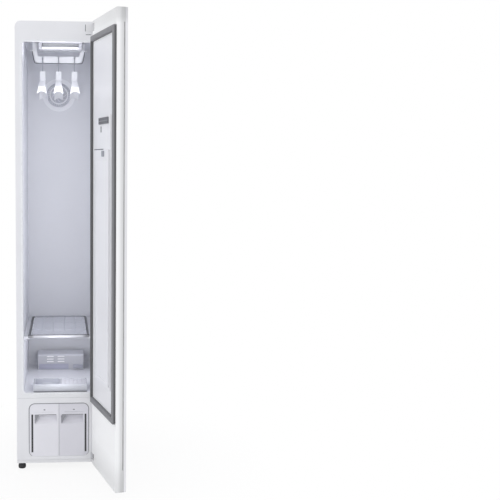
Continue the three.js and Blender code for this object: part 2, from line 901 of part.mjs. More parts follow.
function buildHangerBar() {
  const armTop = yokeBottom - seat;
  let bar = alongY(barOutline(), barPlane - barDepth / 2, barPlane + barDepth / 2, 0, 5);
  // the arms are thinner than the bar where they pass the ceiling
  for (const side of [-1, 1]) {
    for (const face of [-1, 1]) {
      const near = barPlane + face * (armDepth / 2);
      const far = barPlane + face * (barDepth / 2 + overrun);
      const armSides = [side * (armOuter - armWidth - overrun), side * (armOuter + overrun)];
      const shave = block(
        [Math.min(...armSides), Math.max(...armSides)],
        [Math.min(near, far), Math.max(near, far)],
        [shoulderHeight + shoulderThickness, armTop + overrun],
      );
      bar = cut(bar, shave);
    }
  }
  for (const x of hangerPlaces()) {
    const saddleEnds = [x - saddleWidth, x + saddleWidth];
    const gap = cut(
      block(
        [x - saddleWidth / 2, x + saddleWidth / 2],
        [barPlane - barDepth, barPlane + barDepth],
        [barBottom - overrun, barTop + overrun],
      ),
      rod(
        [saddleEnds[0], barPlane, saddleHeight],
        [saddleEnds[1], barPlane, saddleHeight],
        saddleRadius,
        16,
      ),
    );
    bar = cut(bar, gap);
  }
  add(cabinet, "hanger_bar", paint.hangerWhite, bar);

  const yokePlan = outline(
    -armOuter,
    armOuter,
    barPlane - yokeDepth / 2,
    barPlane + yokeDepth / 2,
    yokeCornerRadius,
  );
  const halfSlot = yokeSlotLength / 2;
  const yoke = cut(
    alongZ(yokePlan, yokeBottom, yokeTop),
    alongZ(
      outline(-yokeSlotWidth / 2, yokeSlotWidth / 2, barPlane - halfSlot, barPlane + halfSlot, 0),
      yokeBottom - overrun,
      yokeTop + overrun,
    ),
  );
  add(cabinet, "hanger_yoke", paint.zinc, yoke);

  const railFloor = linerTop + seat;
  const wallIn = yokeDepth / 2 + seat;
  const wallOut = wallIn + yokeRailWall;
  const lipLow = yokeTop + seat;
  const lipHigh = lipLow + yokeRailLipThickness;
  const channel = polygon([
    [barPlane - wallOut, railFloor],
    [barPlane + wallOut, railFloor],
    [barPlane + wallOut, lipHigh],
    [barPlane + wallIn - yokeRailLip, lipHigh],
    [barPlane + wallIn - yokeRailLip, lipLow],
    [barPlane + wallIn, lipLow],
    [barPlane + wallIn, yokeBottom - seat],
    [barPlane - wallIn, yokeBottom - seat],
    [barPlane - wallIn, lipLow],
    [barPlane - wallIn + yokeRailLip, lipLow],
    [barPlane - wallIn + yokeRailLip, lipHigh],
    [barPlane - wallOut, lipHigh],
  ]);
  const rail = alongX(channel, -yokeRailLength / 2, yokeRailLength / 2);
  add(cabinet, "yoke_rail", paint.greyPlastic, rail);

  const motorTop = linerTop + pocketDepth - seat;
  const motorBottom = motorTop - motorFlangeThickness - motorHeight;
  const crankTop = motorBottom - running;
  const crankBottom = crankTop - crankThickness;
  const crank = join(
    alongZ(circle(crankRadius, 24, 0, barPlane), crankBottom, crankTop),
    alongZ(circle(crankPinRadius, 12, 0, barPlane + barTravel), yokeTop + seat, crankBottom + seat),
    alongZ(circle(crankShaftRadius, 12, 0, barPlane), crankTop - seat, crankTop + crankShaftLength),
  );
  add(cabinet, "crank_disc", paint.zinc, crank);

  const flangePlan = outline(
    -motorFlangeHalfWidth,
    motorFlangeHalfWidth,
    barPlane - motorRadius,
    barPlane + motorRadius,
    motorRadius / 4,
  );
  const motor = cut(
    join(
      alongZ(circle(motorRadius, 24, 0, barPlane), motorBottom, motorTop),
      alongZ(flangePlan, motorTop - motorFlangeThickness, motorTop),
    ),
    alongZ(
      circle(crankShaftRadius + running, 16, 0, barPlane),
      motorBottom - overrun,
      crankTop + crankShaftLength + running,
    ),
  );
  add(cabinet, "hanger_motor", paint.blackSteel, motor);
}

// Three hangers, seen edge on, each with a wire hook over its saddle on the bar
function hangerPlaces() {
  return [-hangerPitch, 0, hangerPitch];
}

function hookCurve() {
  const radius = saddleRadius + seat + hookWire / 2;
  const points = [];
  const steps = 12;
  for (let i = 0; i <= steps; i++) {
    const angle = THREE.MathUtils.degToRad(hookTipAngle + ((hookFrontAngle - hookTipAngle) * i) / steps);
    points.push(new THREE.Vector3(0, radius * Math.cos(angle), radius * Math.sin(angle)));
  }
  const stemTop = -2 * radius;
  points.push(new THREE.Vector3(0, -radius / 3, stemTop + radius / 3));
  points.push(new THREE.Vector3(0, 0, stemTop - radius / 2));
  points.push(new THREE.Vector3(0, 0, neckTop - saddleHeight - stemSink));
  return new THREE.CatmullRomCurve3(points, false, "centripetal");
}

// Side view of a hanger: a short neck, then shoulders that fall away to the tips
function shoulderLine(share) {
  const start = neckDepth / 2;
  const y = start + (shoulderSpan - start) * share;
  const fall = shoulderDrop - neckLength;
  const z = neckTop - neckLength - fall * Math.pow(share, shoulderFallPower);
  return [y, z];
}

function hangerSide(drop, skirt, top) {
  const steps = 7;
  const upper = [];
  const lower = [];
  for (let i = 0; i <= steps; i++) {
    const [y, z] = shoulderLine(i / steps);
    upper.push([y, z - drop]);
    lower.push([y, z - drop - skirt]);
  }
  const right = [[neckDepth / 2 - drop, top], ...upper, ...lower.reverse()];
  const left = right.map(([y, z]) => [-y, z]).reverse();
  return polygon([...left, ...right].reverse());
}

function hangerFront(inset) {
  const half = neckWidth / 2 - inset;
  const tip = tipWidth / 2 - inset;
  const flareTop = neckTop - neckLength;
  const low = neckTop - shoulderDrop - shoulderSkirt;
  return polygon([
    [-half, neckTop + overrun],
    [-half, flareTop],
    [-tip, low + shoulderSkirt],
    [-tip, low - overrun],
    [tip, low - overrun],
    [tip, low + shoulderSkirt],
    [half, flareTop],
    [half, neckTop + overrun],
  ]);
}

function buildHangers() {
  const flareTop = neckTop - neckLength;
  const whole = shoulderSpan + overrun;
  const outside = alongX(hangerSide(0, shoulderSkirt, neckTop), -tipWidth, tipWidth);
  const body = outside.intersect(alongY(hangerFront(0), -whole, whole));
  const under = alongX(
    hangerSide(hangerWall, shoulderSkirt + overrun, flareTop - hangerWall),
    -tipWidth,
    tipWidth,
  );
  const closedTips = shoulderSpan - hangerWall;
  const hollow = under.intersect(alongY(hangerFront(hangerWall), -closedTips, closedTips));
  const socket = alongZ(
    circle(hookWire / 2 + seat, 12),
    neckTop - stemSink - seat,
    neckTop + overrun,
  );
  const hanger = cut(body, hollow, socket);
  const hook = wire(hookCurve(), hookWire / 2, hookSides, hookSteps);
  hangerPlaces().forEach((x, i) => {
    add(cabinet, "hanger_" + (i + 1), paint.hangerWhite, hanger).position.set(x, barPlane, 0);
    add(cabinet, "hook_" + (i + 1), paint.chrome, hook).position.set(x, barPlane, saddleHeight);
  });
}

// Fan at the top of the back wall
function ringProfile(inner, outer, low, high) {
  return [
    [inner, low],
    [outer, low],
    [outer, high],
    [inner, high],
    [inner, low],
  ];
}

function curvedVane(inner, outer, thickness, bend, turn, y0, y1) {
  const steps = 4;
  const front = [];
  const back = [];
  for (let i = 0; i <= steps; i++) {
    const radius = inner + ((outer - inner) * i) / steps;
    const angle = turn + bend * Math.pow(i / steps, vaneCurlPower);
    const half = thickness / 2 / radius;
    front.push([radius * Math.cos(angle - half), fanHeight + radius * Math.sin(angle - half)]);
    back.push([radius * Math.cos(angle + half), fanHeight + radius * Math.sin(angle + half)]);
  }
  return alongY(polygon([...front, ...back.reverse()]), y0, y1);
}

function buildFan() {
  const wallFace = compartmentBack - seat;
  const ringFront = wallFace - fanDishThickness - fanRingDepth;
  let grille = turnedForwards(
    [
      [fanRingRadius - fanRingWidth, 0],
      [fanDishRadius, 0],
      [fanDishRadius, fanDishRim],
      [fanRingRadius, fanDishThickness],
      [fanRingRadius, fanDishThickness + fanRingDepth],
      [fanRingRadius - fanRingWidth, fanDishThickness + fanRingDepth],
      [fanRingRadius - fanRingWidth, 0],
    ],
    28,
    0,
    wallFace,
    fanHeight,
  );
  const innerRing = turnedForwards(
    ringProfile(fanInnerRingRadius - fanInnerRingWidth, fanInnerRingRadius, 0, fanRingDepth),
    24,
    0,
    ringFront + fanRingDepth,
    fanHeight,
  );
  const hub = turnedForwards(
    [
      [0, 0],
      [fanHubRadius, 0],
      [fanHubRadius, fanRingDepth / 2],
      [fanHubRadius / 2, fanRingDepth],
      [0, fanRingDepth],
    ],
    20,
    0,
    ringFront + fanRingDepth,
    fanHeight,
  );
  grille = join(grille, innerRing, hub);
  for (let i = 0; i < fanVaneCount; i++) {
    const turn = (2 * Math.PI * i) / fanVaneCount;
    const vane = curvedVane(
      fanHubRadius - running,
      fanRingRadius - fanRingWidth + running,
      fanVaneThickness,
      fanVaneTurn,
      turn,
      ringFront + fanRingDepth - fanVaneDepth,
      ringFront + fanRingDepth,
    );
    grille = join(grille, vane);
  }
  add(cabinet, "fan_grille", paint.plastic, grille);

  const housingFront = compartmentBack + linerWall + seat;
  const housingBack = backFace - 2 * seat;
  const impellerFront = housingFront;
  const impellerBack = impellerFront + impellerDepth;
  let housing = turnedForwards(
    [
      [0, 0],
      [fanHousingRadius, 0],
      [fanHousingRadius, housingBack - housingFront],
      [fanHousingRadius - fanHousingWall, housingBack - housingFront],
      [fanHousingRadius - fanHousingWall, fanHousingWall],
      [impellerHubRadius, fanHousingWall],
      [impellerHubRadius, housingBack - impellerBack - running],
      [0, housingBack - impellerBack - running],
    ],
    28,
    0,
    housingBack,
    fanHeight,
  );
  const shaftBack = housingBack - fanHousingWall - overrun;
  housing = cut(
    housing,
    rod([0, shaftBack - running, fanHeight], [0, housingFront, fanHeight], fanShaftRadius + seat, 12),
  );
  add(cabinet, "fan_housing", paint.blackSteel, housing);

  let impeller = join(
    rod([0, impellerBack, fanHeight], [0, impellerFront, fanHeight], impellerHubRadius, 20),
    rod([0, shaftBack - 2 * running, fanHeight], [0, impellerBack - seat, fanHeight], fanShaftRadius, 12),
  );
  for (let i = 0; i < bladeCount; i++) {
    const turn = (2 * Math.PI * (i + 0.5)) / bladeCount;
    const blade = curvedVane(
      impellerHubRadius - running,
      impellerRadius,
      bladeThickness,
      bladeTurn,
      turn,
      impellerFront + running,
      impellerBack - running,
    );
    impeller = join(impeller, blade);
  }
  add(cabinet, "fan_impeller", paint.greyPlastic, impeller);
}

// Sliding shelf: a chrome wire frame, a clear plate on it and a bright front trim
function buildShelf() {
  const wireRadius = shelfFrameWire / 2;
  const middle = shelfHeight + wireRadius;
  const outer = outline(
    -shelfHalfWidth,
    shelfHalfWidth,
    shelfFront,
    shelfBack,
    [shelfCornerRadius, shelfCornerRadius, shelfCornerRadius, shelfCornerRadius],
  );
  const inner = outline(
    -shelfHalfWidth + shelfFrameWire,
    shelfHalfWidth - shelfFrameWire,
    shelfFront + shelfFrameWire,
    shelfBack - shelfFrameWire,
    shelfCornerRadius - shelfFrameWire,
  );
  const low = shelfHeight;
  const high = shelfHeight + shelfFrameWire;
  let frame = cut(
    alongZ(outer, low, high, shelfFrameWire / 4, 2),
    alongZ(inner, low - overrun, high + overrun, 0, 2),
  );
  for (let i = 0; i < shelfGridCount; i++) {
    const x = (i - (shelfGridCount - 1) / 2) * shelfGridPitch;
    const ends = [shelfFront + wireRadius, shelfBack - wireRadius];
    frame = join(frame, rod([x, ends[0], middle], [x, ends[1], middle], shelfGridWire / 2, 6));
  }
  const across = shelfHalfWidth - wireRadius;
  for (const share of [1 / 3, 2 / 3]) {
    const y = shelfFront + (shelfBack - shelfFront) * share;
    const z = middle - shelfGridWire * weldShare;
    frame = join(frame, rod([-across, y, z], [across, y, z], shelfGridWire / 2, 6));
  }
  add(cabinet, "shelf_frame", paint.chrome, frame);

  const plateHalf = shelfHalfWidth - shelfPlateMargin;
  const plan = outline(
    -plateHalf,
    plateHalf,
    shelfFront + shelfPlateMargin,
    shelfBack - shelfPlateMargin,
    shelfCornerRadius / 2,
  );
  const plateLow = middle + shelfGridWire / 2 + seat;
  add(cabinet, "shelf_plate", paint.clear, alongZ(plan, plateLow, plateLow + shelfPlateThickness));

  const trimBack = shelfFront - seat;
  const trimSide = outline(
    trimBack - shelfTrimDepth,
    trimBack,
    high - shelfTrimHeight / 2,
    high + shelfTrimHeight / 2,
    shelfTrimDepth / 3,
  );
  add(cabinet, "shelf_front_trim", paint.clear, alongX(trimSide, -shelfHalfWidth, shelfHalfWidth, 0, 2));
}

// Clear tray on the floor, with the lint filter on the left and the aroma case on the right
function trayPlace() {
  const low = openingBottom + seat;
  return { low, high: low + trayHeight };
}

function buildTray() {
  const { low, high } = trayPlace();
  const side = outline(trayFront, trayBack, low, high, [running, running, running, trayFrontRadius]);
  const hollowBottom = low + trayWall;
  const pockets = [
    [trayLeft + trayWall, trayDivider - trayWall / 2],
    [trayDivider + trayWall / 2, trayRight - trayWall],
  ];
  let tray = alongX(side, trayLeft, trayRight);
  const hollowSide = outline(
    trayFront + trayFrontRadius,
    trayBack - trayWall,
    hollowBottom,
    high + overrun,
    0,
  );
  for (const [left, right] of pockets) tray = cut(tray, alongX(hollowSide, left, right));
  add(cabinet, "floor_tray", paint.clear, tray);

  const front = trayFront + trayFrontRadius + running;
  const back = trayBack - trayWall - running;
  const bottom = hollowBottom + seat;
  const [filterLeft, filterRight] = [pockets[0][0] + running, pockets[0][1] - running];
  let filter = cut(
    block([filterLeft, filterRight], [front, back], [bottom, high]),
    block(
      [filterLeft + trayBasketRim, filterRight - trayBasketRim],
      [front + trayBasketRim, back - trayBasketRim],
      [bottom + trayBasketRim, high + overrun],
    ),
  );
  const filterMiddle = (filterLeft + filterRight) / 2;
  const grip = block(
    [filterMiddle - filterGripLength / 2, filterMiddle + filterGripLength / 2],
    [front, front + trayBasketRim],
    [high - seat, high + filterGripHeight],
  );
  filter = join(filter, grip);
  const windowLength = back - front - 2 * filterWindowMargin;
  const rowPitch = windowLength / filterMeshRows;
  for (let i = 0; i < filterMeshRows; i++) {
    const y = front + filterWindowMargin + i * rowPitch;
    filter = cut(
      filter,
      block(
        [filterLeft + filterWindowMargin, filterRight - filterWindowMargin],
        [y, y + rowPitch - trayBasketRim],
        [bottom - overrun, bottom + trayBasketRim + seat],
      ),
    );
  }
  add(cabinet, "lint_filter", paint.greyPlastic, filter);

  const [caseLeft, caseRight] = [pockets[1][0] + running, pockets[1][1] - running];
  let aroma = alongZ(
    outline(caseLeft, caseRight, front, back, 2 * trayBasketRim),
    bottom,
    high - running,
    caseLidThickness / 2,
  );
  const slotPitch = (caseRight - caseLeft) / (scentSlotCount + 1);
  for (let i = 1; i <= scentSlotCount; i++) {
    const x = caseLeft + i * slotPitch;
    aroma = cut(
      aroma,
      block(
        [x - scentSlotWidth / 2, x + scentSlotWidth / 2],
        [front + filterWindowMargin, back - filterWindowMargin],
        [high - running - caseLidThickness, high + overrun],
      ),
    );
  }
  add(cabinet, "aroma_case", paint.plastic, aroma);
}

// Duct cover at the back of the floor, with the return air mouth, louvres and steam outlet
function buildDuct() {
  const low = openingBottom + seat;
  const back = compartmentBack - linerFilletRadius;
  const side = outline(ductFront, back, low, ductTop, [0, 0, 0, ductEdgeRadius]);
  const insideRadius = ductEdgeRadius - ductWall;
  const inside = outline(
    ductFront + ductWall,
    back + overrun,
    low - overrun,
    ductTop - ductWall,
    [0, 0, 0, insideRadius],
  );
  let cover = cut(
    alongX(side, ductLeft, ductRight),
    alongX(inside, ductLeft + ductWall, ductRight - ductWall),
  );
  const through = [ductFront - overrun, ductFront + ductWall + overrun];
  cover = cut(cover, block([ductMouthLeft, ductMouthRight], through, [low + ductWall, ductMouthTop]));
  for (const middle of [louvreLeftMiddle, louvreRightMiddle]) {
    for (let i = 0; i < louvreCount; i++) {
      const z = louvreBottom + i * louvrePitch;
      const across = [middle - louvreLength / 2, middle + louvreLength / 2];
      cover = cut(cover, block(across, through, [z, z + louvreHeight]));
    }
  }
  const throatAcross = [nozzleLeft + nozzleSlotMargin / 2, nozzleRight - nozzleSlotMargin / 2];
  const throatUp = [nozzleBottom + nozzleSlotMargin / 2, nozzleTop - nozzleSlotMargin / 2];
  cover = cut(cover, block(throatAcross, through, throatUp));
  add(cabinet, "duct_cover", paint.liner, cover);

  const slotAcross = [nozzleLeft + nozzleSlotMargin, nozzleRight - nozzleSlotMargin];
  const slotUp = [nozzleBottom + nozzleSlotMargin, nozzleTop - nozzleSlotMargin];
  const throatBack = steamPipeBackY - steamPipeRadius - seat;
  const nozzle = cut(
    join(
      block(
        [nozzleLeft, nozzleRight],
        [ductFront - nozzleReach, ductFront - seat],
        [nozzleBottom, nozzleTop],
      ),
      block(
        [throatAcross[0] + seat, throatAcross[1] - seat],
        [ductFront - running, throatBack],
        [throatUp[0] + seat, throatUp[1] - seat],
      ),
    ),
    block(slotAcross, [ductFront - nozzleReach - overrun, throatBack + overrun], slotUp),
  );
  add(cabinet, "steam_nozzle", paint.hangerWhite, nozzle);
}

// Bay for the water tanks, and the two tanks
function buildBay() {
  const outside = outline(
    -bayHalfWidth - bayWall,
    bayHalfWidth + bayWall,
    bayBottom - bayWall,
    bayTop + bayWall,
    bayCornerRadius + bayWall,
  );
  const inside = outline(-bayHalfWidth, bayHalfWidth, bayBottom, bayTop, bayCornerRadius);
  const bay = cut(
    alongY(outside, behindFrame, bayBack + bayWall),
    alongY(inside, behindFrame - overrun, bayBack),
  );
  add(cabinet, "tank_bay", paint.greyPlastic, bay);
}

function mirrored(side, near, far) {
  return side < 0 ? [-far, -near] : [near, far];
}

function tankOutline(side, inset, low, high, cornerRadius) {
  const [left, right] = mirrored(side, tankSplit / 2 + inset, bayHalfWidth - tankSideGap - inset);
  const small = tankEdgeRadius;
  const radii =
    side < 0
      ? [cornerRadius, small, small, cornerRadius]
      : [small, cornerRadius, cornerRadius, small];
  return outline(left, right, low, high, radii);
}

function buildTank(name, side) {
  const scoop = mirrored(side, scoopFromSplit, bayHalfWidth - scoopFromSide);
  const frontLow = bayBottom + seat;
  const frontHigh = bayTop - tankSideGap;
  const faceY = tankFrontInset;
  const frontBack = faceY + tankFrontThickness;
  let front = alongY(
    tankOutline(side, 0, frontLow, frontHigh, bayCornerRadius - tankSideGap),
    faceY,
    frontBack,
  );
  const scoopSide = new THREE.Shape();
  scoopSide.moveTo(faceY - overrun, scoopTop - scoopLip);
  scoopSide.lineTo(faceY, scoopTop - scoopLip);
  scoopSide.lineTo(faceY + scoopDepth, scoopTop);
  scoopSide.quadraticCurveTo(
    faceY + scoopDepth,
    (scoopTop + scoopBottom) / 2,
    faceY,
    scoopBottom,
  );
  scoopSide.lineTo(faceY - overrun, scoopBottom);
  const [windowLeft, windowRight] = mirrored(
    side,
    windowMiddle - windowWidth / 2,
    windowMiddle + windowWidth / 2,
  );
  const markAcross = mirrored(side, markInner, markOuter);
  front = cut(
    front,
    alongX(scoopSide, scoop[0], scoop[1], 0, 3),
    block(
      [windowLeft - seat, windowRight + seat],
      [faceY - overrun, faceY + windowThickness + seat],
      [windowBottom - seat, windowTop + seat],
    ),
    block(
      markAcross,
      [faceY - overrun, faceY + markThickness],
      [markHeight - markThickness / 2, markHeight + markThickness / 2],
    ),
  );
  add(cabinet, name + "_front", paint.tankWhite, front);
  const level = block(
    [windowLeft, windowRight],
    [faceY, faceY + windowThickness],
    [windowBottom, windowTop],
  );
  add(cabinet, name + "_window", paint.smoked, level);

  const bodyFront = frontBack + seat;
  const bodyLow = frontLow + tankBodyInset;
  const inset = tankBodyInset;
  const outer = tankOutline(side, inset, bodyLow, tankBodyTop, tankCornerRadius);
  const inner = tankOutline(
    side,
    inset + tankWall,
    bodyLow + tankWall,
    tankBodyTop - tankWall,
    tankCornerRadius - tankWall,
  );
  const [left, right] = mirrored(
    side,
    tankSplit / 2 + inset,
    bayHalfWidth - tankSideGap - inset - tankCornerRadius,
  );
  const [innerFront, innerBack] = [bodyFront + tankWall, tankBodyBack - tankWall];
  // the mouth in the tank's roof, which the lid closes
  const mouth = block(
    [left + tankWall, right - tankWall],
    [innerFront, innerBack],
    [tankBodyTop - tankWall - overrun, tankBodyTop + overrun],
  );
  const body = cut(
    alongY(outer, bodyFront, tankBodyBack),
    alongY(inner, innerFront, innerBack),
    mouth,
  );
  add(cabinet, name, paint.clear, body);

  const lidLow = tankBodyTop + seat;
  const middleX = (left + right) / 2;
  const capY = (bodyFront + tankBodyBack) / 2;
  const lid = join(
    alongZ(outline(left, right, bodyFront, tankBodyBack, tankEdgeRadius), lidLow, lidLow + tankLidThickness),
    alongZ(
      circle(tankCapRadius, 20, middleX, capY),
      lidLow + tankLidThickness - seat,
      lidLow + tankLidThickness + tankCapHeight,
    ),
  );
  add(cabinet, name + "_lid", paint.greyPlastic, lid);
}

// Heat pump and steam generator in the machine room
function buildCompressor() {
  const canBottom = machineFloor + compressorFootHeight + compressorPlateThickness;
  const can = turned(
    [
      [0, -seat],
      [compressorRadius * compressorBottomShare, -seat],
      ...compressorShellShares.map(([across, up]) => [
        compressorRadius * across,
        compressorHeight * up,
      ]),
      [0, compressorHeight],
    ],
    28,
  ).translate([compressorX, compressorY, canBottom]);
  const half = compressorPlateHalf;
  let compressor = join(
    can,
    block(
      [compressorX - half, compressorX + half],
      [compressorY - half, compressorY + half],
      [canBottom - compressorPlateThickness, canBottom],
    ),
  );
  for (const sideX of [-1, 1]) {
    for (const sideY of [-1, 1]) {
      const x = compressorX + sideX * (half - compressorFootRadius);
      const y = compressorY + sideY * (half - compressorFootRadius);
      const top = canBottom - seat;
      compressor = join(compressor, alongZ(circle(compressorFootRadius, 12, x, y), machineFloor, top));
    }
  }
  add(cabinet, "compressor", paint.blackSteel, compressor);
}

// A finned coil: fins across X, tubes along X, and end plates that reach its support
function finnedCoil(box, plateLow, plateHigh) {
  const pitch = (box.right - box.left) / (coilFinCount - 1);
  let coil = null;
  for (let i = 0; i < coilFinCount; i++) {
    const x = box.left + i * pitch;
    const end = i === 0 || i === coilFinCount - 1;
    const thickness = end ? coilLegWidth : coilFinThickness;
    const fin = block(
      [x - thickness / 2, x + thickness / 2],
      [box.front, box.back],
      end ? [plateLow, plateHigh] : [box.bottom, box.top],
    );
    coil = coil ? join(coil, fin) : fin;
  }
  for (const heightShare of coilTubeHeightShares) {
    const y = (box.front + box.back) / 2;
    const z = box.bottom + (box.top - box.bottom) * heightShare;
    const reach = 2 * coilTubeRadius;
    coil = join(
      coil,
      rod([box.left - reach, y, z], [box.right + reach, y, z], coilTubeRadius, coilTubeSides),
    );
  }
  return coil;
}

function buildMachineRoom() {
  buildCompressor();
  add(
    cabinet,
    "condenser",
    paint.aluminium,
    finnedCoil(
      {
        left: condenserLeft,
        right: condenserRight,
        front: caseDepth - condenserFromBack - condenserDepth,
        back: caseDepth - condenserFromBack,
        bottom: condenserBottom,
        top: condenserTop,
      },
      machineFloor,
      condenserTop,
    ),
  );
  add(
    cabinet,
    "evaporator",
    paint.aluminium,
    finnedCoil(
      {
        left: evaporatorLeft,
        right: evaporatorRight,
        front: bayBack + evaporatorFromBay,
        back: bayBack + evaporatorFromBay + evaporatorDepth,
        bottom: evaporatorBottom,
        top: evaporatorTop,
      },
      evaporatorBottom,
      deckBottom - seat,
    ),
  );
  const pipeStartY = (boilerFront + boilerBack) / 2;
  const pipeEnd = openingBottom + (nozzleTop - nozzleBottom);
  const bendLow = boilerTop + (deckBottom - boilerTop) / 4;
  const bendHigh = boilerTop + ((deckBottom - boilerTop) * 3) / 4;
  const route = new THREE.CatmullRomCurve3(
    [
      new THREE.Vector3(steamPipeX, pipeStartY, boilerTop - overrun),
      new THREE.Vector3(steamPipeX, pipeStartY, bendLow),
      new THREE.Vector3(steamPipeX, (pipeStartY + steamPipeBackY) / 2, (bendLow + bendHigh) / 2),
      new THREE.Vector3(steamPipeX, steamPipeBackY, bendHigh),
      new THREE.Vector3(steamPipeX, steamPipeBackY, (bendHigh + pipeEnd) / 2),
      new THREE.Vector3(steamPipeX, steamPipeBackY, pipeEnd),
    ],
    false,
    "centripetal",
  );
  const boilerPlan = outline(boilerLeft, boilerRight, boilerFront, boilerBack, boilerCornerRadius);
  const generator = join(
    alongZ(boilerPlan, machineFloor, boilerTop, boilerEdge),
    wire(route, steamPipeRadius, 8, 12),
  );
  add(cabinet, "steam_generator", paint.zinc, generator);
}

// Hinges on the case: a plate on the front frame, an arm, an eye and a pin on the door's axis
function hingeBracket(plateLeft, low, high, armLow, pinLow, pinHigh) {
  const armHigh = armLow + hingeArmThickness;
  const plate = alongY(
    outline(plateLeft, hingeX + hingeArmHalfWidth, low, high, hingePlateCornerRadius),
    -seat - hingePlateThickness,
    -seat,
  );
  const arm = block(
    [hingeX - hingeArmHalfWidth, hingeX + hingeArmHalfWidth],
    [hingeY, -seat - hingePlateThickness / 2],
    [armLow, armHigh],
  );
  const eye = alongZ(circle(hingeEyeRadius, 20, hingeX, hingeY), armLow, armHigh);
  const pin = alongZ(circle(hingePinRadius, 16, hingeX, hingeY), pinLow, pinHigh);
  return join(plate, arm, eye, pin);
}

function buildHinges() {
  const topArm = (topHingeBottom + topHingeTop - hingeArmThickness) / 2;
  const bottomArm = (bottomHingeBottom + bottomHingeTop - hingeArmThickness) / 2;
  const topMiddle = topArm + hingeArmThickness / 2;
  const bottomMiddle = bottomArm + hingeArmThickness / 2;
  add(
    cabinet,
    "top_hinge",
    paint.enamel,
    hingeBracket(
      hingeX - topHingePlateWidth,
      topHingeBottom,
      topHingeTop,
      topArm,
      topArm - hingePinLength,
      topMiddle,
    ),
  );
  add(
    cabinet,
    "bottom_hinge",
    paint.zinc,
    hingeBracket(
      hingeX - bottomHingePlateWidth,
      bottomHingeBottom,
      bottomHingeTop,
      bottomArm,
      bottomMiddle,
      bottomArm + hingeArmThickness + hingePinLength,
    ),
  );
}

// Door, drawn closed and turned open about its hinge axis
const door = new THREE.Group();
const doorTurn = new THREE.Group();
doorTurn.position.copy(hingePoint);
doorTurn.rotation.z = THREE.MathUtils.degToRad(doorOpenAngle);
door.position.copy(hingePoint).negate();
doorTurn.add(door);
part.add(doorTurn);

function hingeNotch(low, high) {
  const notchLow = low - hingeNotchMargin;
  const notchHigh = high + hingeNotchMargin;
  return block(
    [hingeX - hingeNotchInner, caseHalf + overrun],
    [hingeY - hingeNotchDepth, doorInner + overrun],
    [notchLow, notchHigh],
  );
}

function buildDoor() {
  const seam = doorOuter + panelThickness;
  const panelPlan = outline(-caseHalf, caseHalf, doorOuter, seam, [
    panelEdgeRadius,
    panelEdgeRadius,
    0,
    0,
  ]);
  add(door, "door_outer_panel", paint.enamel, alongZ(panelPlan, baseBottom, caseHeight));

  const shellFront = seam + seat;
  const shellPlan = outline(-caseHalf, caseHalf, shellFront, doorInner, [
    0,
    0,
    innerEdgeRadius,
    innerEdgeRadius,
  ]);
  const pinTop = topHingeBottom - hingePinLength;
  const pinBottom = bottomHingeTop + hingePinLength;
  // hollow behind the panel, except for a solid block round each hinge
  const hollowAcross = [-caseHalf + gripDepth + doorWall, caseHalf - doorWall];
  const hollowDeep = [shellFront - overrun, doorInner - doorWall];
  const bossLeft = hingeX - hingeNotchInner - doorWall;
  const hollow = join(
    block([hollowAcross[0], bossLeft], hollowDeep, [baseBottom + doorWall, caseHeight - doorWall]),
    block([bossLeft - running, hollowAcross[1]], hollowDeep, [pinBottom + doorWall, pinTop - doorWall]),
  );
  const bore = circle(hingePinRadius + seat, 16, hingeX, hingeY);
  const shell = cut(
    alongZ(shellPlan, baseBottom, caseHeight),
    hollow,
    block(
      [-caseHalf - overrun, -caseHalf + gripDepth],
      [shellFront + gripFromSeam, shellFront + gripFromSeam + gripWidth],
      [gripBottom, gripTop],
    ),
    hingeNotch(topHingeBottom, topHingeTop),
    hingeNotch(bottomHingeBottom, bottomHingeTop),
    alongZ(bore, pinTop, topHingeTop),
    alongZ(bore, bottomHingeBottom, pinBottom),
  );
  add(door, "door_inner_shell", paint.plastic, shell);
}

function gasketRing(inset, width, low, high) {
  const half = caseHalf - gasketInset - inset;
  const radius = gasketCornerRadius - inset / 2;
  const outer = outline(-half, half, gasketBottom + inset, gasketTop - inset, radius);
  const inner = outline(
    -half + width,
    half - width,
    gasketBottom + inset + width,
    gasketTop - inset - width,
    radius / 2,
  );
  return cut(alongY(outer, low, high), alongY(inner, low - overrun, high + overrun));
}

function buildGasketAndLiner() {
  const low = doorInner + seat;
  const lipInset = (gasketWidth - gasketLipWidth) / 2;
  const gasket = join(
    gasketRing(0, gasketWidth, low, low + gasketBaseHeight),
    gasketRing(lipInset, gasketLipWidth, low + gasketBaseHeight - seat, low + gasketHeight),
  );
  add(door, "door_gasket", paint.rubber, gasket);

  const inset = gasketInset + gasketWidth + doorLinerGap;
  const inner = outline(
    -caseHalf + inset,
    caseHalf - inset,
    gasketBottom + gasketWidth + doorLinerGap,
    gasketTop - gasketWidth - doorLinerGap,
    doorLinerCornerRadius,
  );
  add(door, "door_liner", paint.plastic, alongY(inner, low, linerFace, 0, 2));
}

